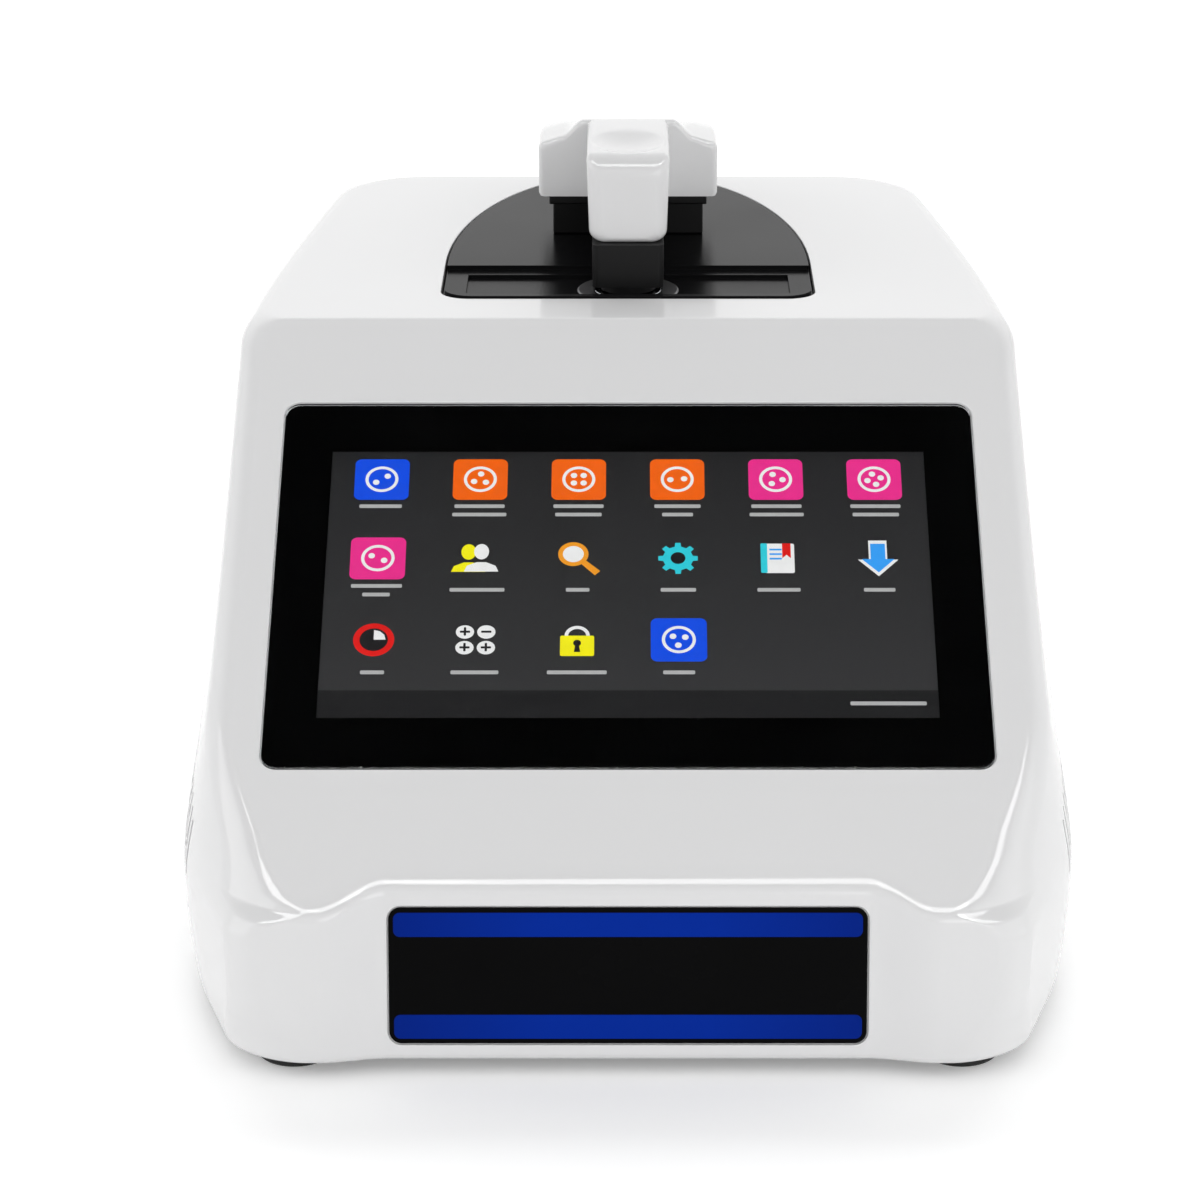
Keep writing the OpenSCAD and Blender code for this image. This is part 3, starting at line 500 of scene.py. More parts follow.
# Half width of the casing at depth y and height z
def flankX(y, z):
    c = casing
    flare = c["cornerHalf"] + c["flankFlare"] * (y - c["cornerY"])
    full = softMin(flare, c["width"] / 2, c["flankBlend"])
    narrow = c["rearTaper"] * max(0, (y - c["taperY"]) / (c["back"] - c["taperY"])) ** 1.4
    shoulder = c["shoulderIn"] * unit((z - c["tuckZ"]) / max(10, slopeZ(y) - c["tuckZ"])) ** 1.4
    tuck = c["tuckIn"] * unit((c["tuckZ"] - z) / (c["tuckZ"] - c["foot"])) ** 2
    return full - narrow - shoulder - tuck * lerp(0.3, 1, unit((y - 5) / 35))


def lowerY(x, z):
    rise = z - casing["foot"]
    face = rise * math.tan(lean)
    pillar = rise * pillarRun - casing["recessDeep"]
    return lerp(face, pillar, ease((abs(x) - casing["recessHalf"]) / casing["recessBlend"]))


def footIn(z):
    return quarter(casing["footRound"], max(0, casing["foot"] + casing["footRound"] - z))


def edgeIn(z):
    return quarter(casing["topRound"], max(0, z - (casing["height"] - casing["topRound"]))) + footIn(z)


def casingFront(x, z, inset):
    return softMax(slopeY(z) + inset / math.sin(slope), lowerY(x, z) + inset, casing["frontBlend"])


# A quarter ellipse that leaves p along X and ends along the direction (run, 1) * turn
def bend(p, a, b, run, turn, n):
    points = []
    for i in range(n + 1):
        s = math.radians(90 * i / n)
        back = b * (1 - math.cos(s))
        points.append((p[0] + a * math.sin(s) + run * back, p[1] + turn * back))
    return points


# How far the slope's lower corners are rounded off at height z
def cornerTurn(z):
    r = casing["cornerRound"]
    most = casing["cornerSoft"] * r
    if z < pillarTopZ:
        return most * ease(1 + (z - pillarTopZ) / 3)
    return softMin(quarter(r, max(0, r - (z - pillarTopZ) / math.sin(slope))), most, 0.5 * r)


# Outline of the casing at height z, right half from the rear to the front, then its mirror
def casingRing(z, inset, fine):
    e = edgeIn(z) + inset
    front = casingFront(casing["recessHalf"] + casing["recessBlend"], z, inset) + footIn(z)
    low = ease((z - 8) / 12)
    high = ease((z - 36) / 14)
    a, b = (
        lerp(lerp(foot, pillar, low), top, high) + cornerTurn(z)
        for foot, pillar, top in zip(casing["cornerFoot"], casing["cornerPillar"], casing["cornerSlope"])
    )
    by = front + b
    bx = flankX(by, z) - e
    run = (flankX(by + 1, z) - flankX(by - 1, z)) / 2
    start = (bx - a - b * run, front)
    back = casing["back"] - e
    r = casing["rearRound"]
    cy = back - r
    backRun = (flankX(cy - 1, z) - flankX(cy + 1, z)) / 2
    corner = (flankX(cy, z) - e - r - r * backRun, back)
    half = [(corner[0] * t, back) for t in span(0, 1, 4)[:-1]]
    half += bend(corner, r, r, backRun, -1, 3 * fine)
    for t in span(1, 0, 6 * fine + 2)[1:-1]:
        y = lerp(by, cy, t ** 1.4)
        half.append((flankX(y, z) - e, y))
    half += bend(start, a, b, run, 1, 5 * fine)[::-1]
    blendStart = casing["recessHalf"]
    shrink = min(1, (start[0] - 0.5 - blendStart) / (casing["recessBlend"] + 1))
    steps = [blendStart + t * shrink for t in span(casing["recessBlend"] + 1, 0, 6 * fine + 1)]
    for x in steps + [40, 20, 0]:
        half.append((x, casingFront(x, z, inset) + footIn(z)))
    ring = half + [(-x, y) for x, y in half[-2:0:-1]]
    return [(x, y, z) for x, y in ring]


def casingLevels():
    c = casing
    low = [c["foot"] + c["footRound"] * (1 - math.cos(math.radians(a))) for a in span(0, 90, 7)]
    crest = c["height"] - c["topRound"]
    top = [crest + c["topRound"] * math.sin(math.radians(a)) for a in span(4, 86, 16)]
    creaseLow = c["height"] - c["creaseRound"] * (1 - math.cos(slope))
    top = [z for z in top if z < creaseLow - 0.1] + span(creaseLow, c["height"], 7)
    middle = span(8, 36, 10) + span(37.5, 51.5, 47) + span(53, 80, 12) + span(84, crest, 14)
    return low + middle + top


# Copies of a piece as plain mesh, each a step further and a turn more than the one before
def repeated(name, piece, count, first, step=(0, 0, 0), turn=(0, 0, 0), look=None):
    tree = bpy.data.node_groups.new(name, "GeometryNodeTree")
    inputs = {
        "Geometry": "Geometry", "Count": "Int", "Start": "Vector", "Step": "Vector",
        "Turn": "Vector", "Material": "Material",
    }
    socket = {}
    for title, kind in inputs.items():
        kind = "NodeSocket" + kind
        socket[title] = tree.interface.new_socket(title, in_out="INPUT", socket_type=kind)
    tree.interface.new_socket("Geometry", in_out="OUTPUT", socket_type="NodeSocketGeometry")
    start = tree.nodes.new("NodeGroupInput")
    end = tree.nodes.new("NodeGroupOutput")
    line = tree.nodes.new("GeometryNodeMeshLine")
    number = tree.nodes.new("GeometryNodeInputIndex")
    angle = tree.nodes.new("ShaderNodeVectorMath")
    angle.operation = "SCALE"
    copies = tree.nodes.new("GeometryNodeInstanceOnPoints")
    real = tree.nodes.new("GeometryNodeRealizeInstances")
    paint = tree.nodes.new("GeometryNodeSetMaterial")
    link = tree.links.new
    link(start.outputs["Count"], line.inputs["Count"])
    link(start.outputs["Start"], line.inputs["Start Location"])
    link(start.outputs["Step"], line.inputs["Offset"])
    link(start.outputs["Turn"], angle.inputs["Vector"])
    link(number.outputs["Index"], angle.inputs["Scale"])
    link(line.outputs["Mesh"], copies.inputs["Points"])
    link(start.outputs["Geometry"], copies.inputs["Instance"])
    link(angle.outputs["Vector"], copies.inputs["Rotation"])
    link(copies.outputs["Instances"], real.inputs["Geometry"])
    link(real.outputs["Geometry"], paint.inputs["Geometry"])
    link(start.outputs["Material"], paint.inputs["Material"])
    link(paint.outputs["Geometry"], end.inputs["Geometry"])
    repeat = piece.modifiers.new("repeat", "NODES")
    repeat.node_group = tree
    repeat[socket["Count"].identifier] = count
    repeat[socket["Start"].identifier] = [c * mm for c in first]
    repeat[socket["Step"].identifier] = [c * mm for c in step]
    repeat[socket["Turn"].identifier] = [math.radians(a) for a in turn]
    repeat[socket["Material"].identifier] = look
    return plain(piece)


vents = {"count": 20, "pitch": 3.3, "firstY": 44, "below": 22, "gain": 6, "long": 13, "r": 0.8}


# Slots that admit air, one row to a flank that climbs with the slope
def ventCutters():
    v = vents
    climb = v["pitch"] * math.tan(slope) + v["gain"] / v["count"]
    top = slopeZ(v["firstY"]) - v["below"]
    cutters = []
    for side in (-1, 1):
        slot = prism(
            "vent", roundRect(2 * v["r"], v["long"] + 2 * v["r"], v["r"], steps=6), [(85, 0), (125, 0)],
            lambda u, w, n, s=side: (s * n, u - frontY, w),
        )
        first = (0, v["firstY"] + frontY, top - v["long"] / 2)
        step = (0, v["pitch"], climb)
        cutters.append(repeated("ventRow", slot, v["count"], first, step, look=whiteGloss))
    return cutters


stage = {
    "half": 51.2, "front": 184, "corner": 8, "middleY": 221.7, "reach": 107, "back": 314, "gap": 0.6,
}
openings = {
    "rear": (132, 66, 3), "rearAt": (0, 47), "socket": (15.2, 8, 1), "socketAt": (56, 26),
    "glassDeep": 1.6, "labelDeep": 0.9, "stageDeep": 9,
}


# Outline of the stage: straight in front, with an arc on each side
def stageOutline(grow):
    half = stage["half"] + grow
    r = stage["corner"]
    reach = stage["reach"] + grow
    last = math.asin((stage["back"] + grow - stage["middleY"]) / reach)
    right = []
    for i in range(13):
        s = math.radians(90 * i / 12)
        right.append((half - r + r * math.sin(s), stage["front"] - grow + r - r * math.cos(s)))
    for i in range(49):
        t = last * i / 48
        right.append((half * math.cos(t), stage["middleY"] + reach * math.sin(t)))
    return right + [(-x, y) for x, y in right[::-1]]


def makeCasing():
    outer = stack("casing", [casingRing(z, 0, 5) for z in casingLevels()])
    wall = casing["wall"]
    top = casing["height"]
    levels = [casing["foot"] - 1, 6, 12, 24, 36] + span(38, 52, 15) + [60, 80, 110, 134, top - wall]
    hollow = stack("hollow", [casingRing(z, wall, 2) for z in levels])
    s = screen
    middle = s["glassUp"] + s["glassH"] / 2
    glass = roundRect(s["glassW"] + 2 * gap, s["glassH"] + 2 * gap, s["corner"] + gap, (0, middle), 14)
    hole = roundRect(s["holeW"], s["holeH"], 2, (0, s["viewUp"]))
    plate = roundRect(
        label["w"] + 2 * gap, label["h"] + 2 * gap, label["corner"] + gap, (0, label["up"]), 12,
    )
    rear = roundRect(*openings["rear"], openings["rearAt"])
    socket = roundRect(*openings["socket"], openings["socketAt"])
    rearSteps = [(-12, 0), (-0.6, 0), (-0.2, 0.15), (0.01, 0.5), (6, 0.5)]
    cutters = [
        hollow,
        prism("glassPocket", glass, pocket(openings["glassDeep"], 0.5), onSlope),
        prism("screenHole", hole, [(-12, 0), (-1, 0)], onSlope),
        prism("labelPocket", plate, pocket(openings["labelDeep"], 0.4), onFace),
        prism(
            "stageHole", lambda grow: stageOutline(stage["gap"] + grow),
            pocket(openings["stageDeep"], 0.3), lambda u, v, n: (u, v, top + n),
        ),
        prism("rearHole", rear, rearSteps, lambda u, v, n: (u, casing["back"] + n, v)),
        prism("sideHole", socket, [(-125, 0), (-85, 0)], lambda u, v, n: (n, u, v)),
    ]
    cut(outer, cutters + ventCutters())
    return smooth(outer, 30)


shell = fit(makeCasing(), "housing", "white_gloss", whiteGloss, "top_shell")
print("casing made", len(shell.data.polygons))


arm = {
    "noseFront": 196, "noseHalf": 11.5, "shoulder": 1.8, "noseZ": 156.7, "noseTail": 262, "noseTop": 181,
    "scoopY": 213, "scoopHalf": 10.4, "scoopLong": 12, "scoopDeep": 2,
    "blockFront": 236, "blockBack": 306, "blockHalf": 25.5, "blockTop": 177, "blockZ": 160,
    "top": 182.1, "fallY": 250, "fall": 12, "flare": 6.4, "wall": 2.2,
    "shaftRoom": (44.8, 21.5), "shaftRoomY": 290.75, "shaftRoomTop": 162.5,
    "noseRoom": (15.2, 45), "noseRoomY": 222.5, "noseRoomTop": 174,
}


# Top of the block's wings along its length
def blockCrestZ(y):
    along = max(0, y - arm["fallY"]) / (arm["blockBack"] - arm["fallY"])
    return arm["blockTop"] - arm["fall"] * along ** 1.5


def crestZ(y):
    if y < arm["blockFront"]:
        return lerp(arm["noseTop"], arm["top"], ease((y - 200) / 30))
    ridge = (arm["top"] - arm["blockTop"]) * (1 - ease((y - arm["blockFront"]) / 24))
    return blockCrestZ(y) + ridge


def scoopDepth(x, y):
    across = x / arm["scoopHalf"]
    along = (y - arm["scoopY"]) / arm["scoopLong"]
    return arm["scoopDeep"] * max(0, 1 - across ** 2 - along ** 2) ** 1.1


# Half section of the arm's nose, which sinks into the crest behind the front of the block
def noseHalf(y):
    ahead = arm["noseFront"] - y
    near = quarter(4.5, max(0, ahead + 4.5))
    ridge = arm["blockFront"] + 2.35
    sink = ease((y - ridge) / (arm["noseTail"] - ridge))
    w = arm["noseHalf"] - near * 0.9 - 2.4 * sink
    top = crestZ(y) - quarter(6, max(0, ahead + 6)) - 3.5 * sink
    low = arm["blockZ"] + 6 if y > ridge else arm["noseZ"] + quarter(1.5, max(0, ahead + 1.5))
    r = arm["shoulder"]
    half = [(x, top - scoopDepth(x, y)) for x in span(0, w - r, 20)]
    for a in span(12, 90, 7):
        s = math.radians(a)
        x = w - r + r * math.sin(s)
        half.append((x, top - r * (1 - math.cos(s)) - scoopDepth(x, y)))
    half.append((w - 0.25, 172))
    for a in span(0, 90, 7):
        s = math.radians(a)
        half.append((w - 0.65 - 3 * (1 - math.cos(s)), low + 3 - 3 * math.sin(s)))
    return half


# Half section of the wide block behind the nose
def blockHalf(y, inset):
    near = quarter(4, max(0, y - (arm["blockBack"] - 4)))
    near += quarter(1.6, max(0, arm["blockFront"] + 1.6 - y))
    w = arm["blockHalf"] - inset - near
    low = max(arm["blockZ"] + 2.6, blockCrestZ(y) - 0.9 - inset - near)
    top = max(low + 0.4, crestZ(y) - inset - near)
    n = arm["noseHalf"] + 1.1 - inset
    half = [(x, top) for x in span(0, n, 8)[:-1]]
    half += [(n + arm["flare"] * t, lerp(top, min(top, low + 1.2), ease(t))) for t in span(0, 1, 19)]
    for a in span(15, 90, 6):
        s = math.radians(a)
        half.append((w - 3 + 3 * math.sin(s), low - 2.2 * (1 - math.cos(s))))
    return half + [(w, arm["blockZ"] + 0.9), (w - 0.4, arm["blockZ"])]


def bothHalves(half, y):
    ring = half + [(-x, z) for x, z in half[:0:-1]]
    return [(x, y, z) for x, z in ring]


def makeArm():
    front = arm["noseFront"]
    ridge = arm["blockFront"]
    noseYs = [front + 6 * (1 - math.cos(math.radians(a))) for a in span(0, 90, 16)]
    noseYs += span(front + 6.4, 222.4, 48) + span(224, ridge + 2.3, 8)
    noseYs += span(ridge + 2.4, arm["noseTail"], 12)
    blockYs = [ridge + 1.6 * (1 - math.cos(math.radians(a))) for a in span(0, 90, 7)]
    blockYs += span(239, 301, 30) + [302 + 4 * math.sin(math.radians(a)) for a in span(0, 90, 12)]
    cover = stack("armCover", [bothHalves(blockHalf(y, 0), y) for y in blockYs])
    cut(cover, [stack("nose", [bothHalves(noseHalf(y), y) for y in noseYs])], "UNION")
    floorZ = arm["blockZ"]
    hollow = []
    for y in [296, 290, 278, 266, 254, ridge + 3]:
        section = bothHalves(blockHalf(y, arm["wall"]), y)
        hollow.append([(x, back, z if z > floorZ else floorZ - 1) for x, back, z in section])
    shaft = roundRect(*arm["shaftRoom"], 0.5, (0, arm["shaftRoomY"]))
    nose = roundRect(*arm["noseRoom"], 0.5, (0, arm["noseRoomY"]))
    cutters = [
        stack("armHollow", hollow),
        prism("shaftRoom", shaft, [(floorZ - 1, 0), (arm["shaftRoomTop"], 0)]),
        prism("noseRoom", nose, [(arm["noseZ"] - 1, 0), (arm["noseRoomTop"], 0)]),
    ]
    cut(cover, cutters)
    return smooth(cover, 34)


cover = fit(makeArm(), "arm", "white_gloss", whiteGloss, "arm_cover")
print("arm made", len(cover.data.polygons))


glassMiddle = screen["glassUp"] + screen["glassH"] / 2
glassPlate = prism(
    "coverPlate", roundRect(screen["glassW"], screen["glassH"], screen["corner"], (0, glassMiddle), 14),
    plateProfile(-screen["glassT"], 0, 0.3), onSlope,
)
fit(smooth(glassPlate, 50), "housing", "glass_cover", coverGlass, "screen_glass")
labelPlate = prism(
    "labelPlate", roundRect(label["w"], label["h"], label["corner"], (0, label["up"]), 12),
    plateProfile(-0.85, -0.05, 0.25), onFace,
)
fit(smooth(labelPlate, 50), "housing", "label_black", labelBlack, "front_label")
bands = []
for side in (-1, 1):
    band = roundRect(label["w"] - 2.4, label["bandH"], 1.6, (0, label["up"] + side * label["bandUp"]))
    bands.append(prism("band", band, plateProfile(-0.06, -0.02, 0.02, 2), onFace))
fit(smooth(joined("labelBands", bands), 50), "housing", "label_blue", blueInk, "label_bands")


# Menu on the display, drawn as thin shapes of ink under the glass
def inked(outline, layer):
    low = -screen["inkDepth"] + 0.11 * layer
    return prism("ink", outline, [(low, 0), (low + 0.1, 0)], onSlope)


def cellCentre(column, row):
    across = (column - (screen["columns"] - 1) / 2) * screen["columnPitch"]
    return across, screen["viewUp"] + screen["firstRow"] - row * screen["rowPitch"]


def polygon(points, centre, scale=1, turn=0):
    c = math.cos(math.radians(turn))
    s = math.sin(math.radians(turn))

    def outline(grow):
        return [
            (centre[0] + scale * (x * c - y * s), centre[1] + scale * (x * s + y * c))
            for x, y in points
        ]
    return outline


def ringBand(inner, outer, centre, start=0, end=360, steps=40):
    arc = [math.radians(a) for a in span(start, end, steps)]
    points = [(outer * math.cos(a), outer * math.sin(a)) for a in arc]
    points += [(inner * math.cos(a), inner * math.sin(a)) for a in arc[::-1]]
    return polygon(points, centre)


def ellipse(a, b, centre, turn=0, steps=36):
    arc = [2 * math.pi * i / steps for i in range(steps)]
    return polygon([(a * math.cos(t), b * math.sin(t)) for t in arc], centre, 1, turn)


def gearShape(teeth, outer, root):
    points = []
    for i in range(teeth):
        for part, r in ((-0.27, root), (-0.17, outer), (0.17, outer), (0.27, root)):
            a = 2 * math.pi * (i + part) / teeth
            points.append((r * math.cos(a), r * math.sin(a)))
    return points


arrowShape = [(0, -5.2), (4.6, -0.4), (2.1, -0.4), (2.1, 5.2), (-2.1, 5.2), (-2.1, -0.4), (-4.6, -0.4)]
bookmarkShape = [(-1.1, 2.6), (1.1, 2.6), (1.1, -2.2), (0, -1.1), (-1.1, -2.2)]
shoulderShape = [(-4.4, -4.4), (-3.7, -2.6), (-1.2, -1.4), (1.2, -1.4), (3.7, -2.6), (4.4, -4.4)]
tile = {
    "w": 14.2, "h": 13.7, "corner": 1.7, "dishR": 3.5, "dishRim": 0.8, "dotR": 0.85, "dotAway": 1.8,
    "captionH": 1.1, "captionDown": 10.3, "lineGap": 2.8, "clockW": 19, "clockAt": (65, -38.6),
}
tiles = (  # column, row and colour
    (0, 0, "blue"), (1, 0, "orange"), (2, 0, "orange"), (3, 0, "orange"),
    (4, 0, "magenta"), (5, 0, "magenta"), (0, 1, "magenta"), (3, 2, "blue"),
)
captions = (  # lengths of the lines under each tile, row by row
    ((11,), (13, 14), (13, 12), (12, 8), (13, 14), (13, 12)),
    ((13, 7), (14,), (6,), (9,), (11,), (8,)),
    ((6,), (12,), (15,), (8,)),
)
inkLooks = {  # slot, look and the solids that each ink replaces
    "orange": ("ui_orange", litOrange, ["ui_tiles_orange"]),
    "magenta": ("ui_magenta", litMagenta, ["ui_tiles_magenta"]),
    "blue": ("ui_blue", litBlue, ["ui_tiles_blue"]),
    "white": ("ui_white", litWhite, ["ui_icons_white"]),
    "cyan": ("ui_cyan", litCyan, ["ui_icons_colour"]),
    "sky": ("ui_blue", litSky, []), "amber": ("ui_orange", litAmber, []),
    "yellow": ("ui_orange", litYellow, []), "red": ("ui_magenta", litRed, []),
    "dark": ("screen_dark", litDark, []), "soft": ("ui_white", litSoft, []),
}


def menuInk():
    ink = {name: [] for name in inkLooks}

    def add(colour, outline, layer=0):
        ink[colour].append(inked(outline, layer))

    for i, (column, row, colour) in enumerate(tiles):
        x, y = cellCentre(column, row)
        add(colour, roundRect(tile["w"], tile["h"], tile["corner"], (x, y)))
        add("white", ringBand(tile["dishR"], tile["dishR"] + tile["dishRim"], (x, y)), 1)
        count = 2 + i % 3  # dots
        for k in range(count):
            a = math.radians(35 + 50 * i + 360 * k / count)
            dot = (x + tile["dotAway"] * math.cos(a), y + tile["dotAway"] * math.sin(a))
            add("white", disc(tile["dotR"], dot, 16), 1)
    for row, cells in enumerate(captions):
        for column, lines in enumerate(cells):
            x, y = cellCentre(column, row)
            for k, length in enumerate(lines):
                down = tile["captionDown"] + (k - (row == 0 or len(lines) > 1) * 0.45) * tile["lineGap"]
                add("soft", roundRect(length, tile["captionH"], 0.3, (x, y - down)))
    across, down = tile["clockAt"]
    add("soft", roundRect(tile["clockW"], tile["captionH"], 0.35, (across, screen["viewUp"] + down)))
    x, y = cellCentre(1, 1)  # two people
    for dx, colour, layer in ((-2.4, "yellow", 0), (0.9, "white", 1)):
        add(colour, ellipse(1.9, 2.5, (x + dx, y + 2.1)), layer)
        add(colour, polygon(shoulderShape, (x + dx, y)), layer)
    x, y = cellCentre(2, 1)  # magnifier
    add("white", disc(3, (x - 1.2, y + 1.3)))
    add("amber", ringBand(2.7, 3.9, (x - 1.2, y + 1.3)), 1)
    add("amber", polygon([(0, -0.8), (5, -0.95), (5, 0.95), (0, 0.8)], (x + 1.5, y - 1.4), 1, -45), 1)
    x, y = cellCentre(3, 1)  # gear
    add("cyan", polygon(gearShape(8, 5.1, 3.9), (x, y)))
    add("dark", disc(1.9, (x, y)), 1)
    x, y = cellCentre(4, 1)  # notebook
    add("white", roundRect(7.6, 9.6, 0.5, (x + 0.4, y)))
    add("cyan", roundRect(1.7, 9.6, 0.3, (x - 3.6, y)), 1)
    add("red", polygon(bookmarkShape, (x + 2.2, y + 2.2)), 1)
    for k in range(3):
        add("sky", roundRect(3.2, 0.5, 0.2, (x - 0.6, y + 2.8 - 1.5 * k)), 1)
    x, y = cellCentre(5, 1)
    add("white", polygon(arrowShape, (x, y), 1.12))
    add("sky", polygon(arrowShape, (x, y), 0.9), 1)
    x, y = cellCentre(0, 2)  # clock
    add("red", ringBand(3.6, 5.2, (x, y)))
    add("dark", disc(3.6, (x, y)))
    add("white", polygon([(0, 0), (3, 0), (2.6, 1.5), (1.5, 2.6), (0, 3)], (x, y)), 1)
    x, y = cellCentre(1, 2)  # calculator
    for k in range(4):
        key = (x + (-2.7, 2.7)[k % 2], y + (2.5, -2.5)[k // 2])
        add("white", ellipse(2.3, 2.1, key))
        add("dark", roundRect(2.6, 0.6, 0.2, key), 1)
        if k != 1:
            add("dark", roundRect(0.6, 2.6, 0.2, key), 2)
    x, y = cellCentre(2, 2)  # padlock
    add("white", ringBand(2.3, 3.2, (x, y + 1.2), 0, 180, 24))
    add("yellow", roundRect(8.6, 6.4, 0.5, (x, y - 2)), 1)
    add("dark", disc(1, (x, y - 1.2), 20), 2)
    add("dark", polygon([(-0.45, 0), (0.45, 0), (0.8, -2.4), (-0.8, -2.4)], (x, y - 1.6)), 2)
    return ink


for colour, shapes in menuInk().items():
    slotName, look, stood = inkLooks[colour]
    fit(joined(colour + "Ink", shapes), "housing", slotName, look, *stood)
print("screen and label made")


fixings = {
    "r": 2.6, "h": 1.3, "panelX": 61, "panelZ": (18.5, 75.5),
    "fanX": 36, "fanZ": 47, "fanPitch": 20.5,
}
baseScrews = {
    "r": 3, "h": 2, "z": 4.4, "shank": 14, "spots": ((101, 70), (101, 180), (88, 296), (64, 14)),
}
panelY = casing["back"] - casing["wall"]


# Screw with a cross in its head
def screw(r, h, place, shank=0):
    profile = plateProfile(0, h, 0.5)
    if shank:
        profile = [(-shank, 1.3 - r), (-0.02, 1.3 - r)] + profile
    head = prism("screw", disc(r, (0, 0), 28), profile, place)
    drives = []
    for a, b in ((1.25 * r, 0.34 * r), (0.34 * r, 1.25 * r)):
        slot = roundRect(a, b, 0.1, (0, 0), 3)
        drives.append(prism("drive", slot, [(h - 0.8, 0), (h + 1, 0)], place))
    cut(head, drives)
    return smooth(head, 35)


def alongY(u, v, n):
    return (u, n, v)


def onRear(u, v, n):
    return (u, n - frontY, v)


def rearScrews():
    f = fixings
    rows = []
    for z in f["panelZ"]:
        head = screw(f["r"], f["h"], onRear)
        first = (-f["panelX"], panelY + frontY, z)
        rows.append(repeated("panelRow", head, 2, first, (2 * f["panelX"], 0, 0), look=turnedSteel))
    pitch = f["fanPitch"]
    head = screw(f["r"], f["h"], lambda u, v, n: (u + pitch, n - frontY, v + pitch))
    centre = (f["fanX"], panelY + frontY, f["fanZ"])
    rows.append(repeated("fanRing", head, 4, centre, turn=(0, 90, 0), look=turnedSteel))
    return joined("rearScrews", rows)


def undersideScrews():
    b = baseScrews
    rows = []
    for x, y in b["spots"]:
        head = screw(b["r"], b["h"], lambda u, v, n: (u, v - frontY, -n), b["shank"])
        first = (-x, y + frontY, b["z"])
        rows.append(repeated("baseRow", head, 2, first, (2 * x, 0, 0), look=turnedSteel))
    return joined("baseScrews", rows)


fan = {
    "hub": 9.5, "pin": 1.5, "low": 312.6, "high": 322.6, "tip": 22.3,
    "blades": 7, "chord": (4.4, 6.8), "pitch": (46, 31),
}


# One swept blade, thick in the middle of its chord
def bladeRing(t):
    r = lerp(fan["hub"] - 0.6, fan["tip"], t)
    half = lerp(*fan["chord"], t)
    pitch = math.radians(lerp(*fan["pitch"], t))
    ring = []
    for i in range(16):
        a = 2 * math.pi * i / 16
        along = half * math.cos(a)
        across = 0.6 * math.sin(a) + 0.12 * half * (1 - math.cos(a) ** 2)
        around = (along * math.cos(pitch) - across * math.sin(pitch)) / r + 0.3 * t * t
        back = along * math.sin(pitch) + across * math.cos(pitch) - frontY
        ring.append((r * math.cos(around), back, r * math.sin(around)))
    return ring


def fanRotor():
    low = fan["low"]
    high = fan["high"]
    middle = (fixings["fanX"], fixings["fanZ"])
    centre = (fixings["fanX"], (low + high) / 2 + frontY, fixings["fanZ"])
    turn = (0, 360 / fan["blades"], 0)
    blade = stack("blade", [bladeRing(t) for t in span(0, 1, 9)])
    blades = repeated("blades", blade, fan["blades"], centre, turn=turn, look=darkPaint)
    hub = prism("hub", disc(fan["hub"], middle), plateProfile(low, high, 1), alongY)
    pin = prism("pin", disc(fan["pin"], middle, 24), [(low - 2.4, 0), (low + 0.6, 0)], alongY)
    return smooth(joined("fanRotor", [blades, hub, pin]), 35)


fit(rearScrews(), "housing", slotOf["case_screws"], turnedSteel)
fit(undersideScrews(), "housing", slotOf["case_screws"], turnedSteel, "case_screws")
fit(fanRotor(), bodyOf["fan_rotor"], slotOf["fan_rotor"], darkPaint, "fan_rotor")
blank = {"w": 30, "h": 19, "corner": 1.5, "at": (-44, 62)}
blankPlate = prism(
    "blankPlate", roundRect(blank["w"], blank["h"], blank["corner"], blank["at"]),
    plateProfile(-0.05, 0.25, 0.1), lambda u, v, n: (u, panelY + n, v),
)
fit(smooth(blankPlate, 50), "housing", slotOf["case_screws"], brushedSteel)


# The rocker's halves lean, and each bears a mark
rocker = {"x": -34, "z": 30, "proud": 1.2, "leanOn": 6.3, "leanOff": 13.2, "markUp": 4.4}


def onRocker(lean, side):
    a = math.radians(lean)

    def place(u, v, n):
        out = rocker["proud"] + n * math.cos(a) - side * v * math.sin(a)
        return (rocker["x"] + u, panelY + out, rocker["z"] + side * v * math.cos(a) + n * math.sin(a))
    return place


spot = (0, rocker["markUp"])
inkDepth = [(-0.02, 0), (0.05, 0)]
rockerMarks = [
    prism("markOne", roundRect(0.6, 3, 0.2, spot, 3), inkDepth, onRocker(rocker["leanOn"], 1)),
    prism("markZero", ringBand(1.1, 1.6, spot), inkDepth, onRocker(rocker["leanOff"], -1)),
]
fit(joined("rockerMarks", rockerMarks), bodyOf["power_rocker"], "ui_white", markWhite)
print("screws, fan and rear made")


# A piece that keeps its solid's shape, with softened edges
def softened(node, material, width, angle=38, steps=2):
    mesh = nodes[node].data.copy()
    bm = bmesh.new()
    bm.from_mesh(mesh)
    bmesh.ops.remove_doubles(bm, verts=bm.verts, dist=0.000002)
    bmesh.ops.dissolve_limit(bm, angle_limit=math.radians(0.6), verts=bm.verts, edges=bm.edges)
    bm.to_mesh(mesh)
    bm.free()
    words = node.split("_")
    obj = newObject(words[0] + "".join(word.title() for word in words[1:]), mesh)
    soften = obj.modifiers.new("soften", "BEVEL")
    soften.width = width * mm
    soften.segments = steps
    soften.limit_method = "ANGLE"
    soften.angle_limit = math.radians(angle)
    soften.use_clamp_overlap = True
    plain(obj)
    smooth(obj, angle)
    return fit(obj, bodyOf[node], slotOf[node], material, node)


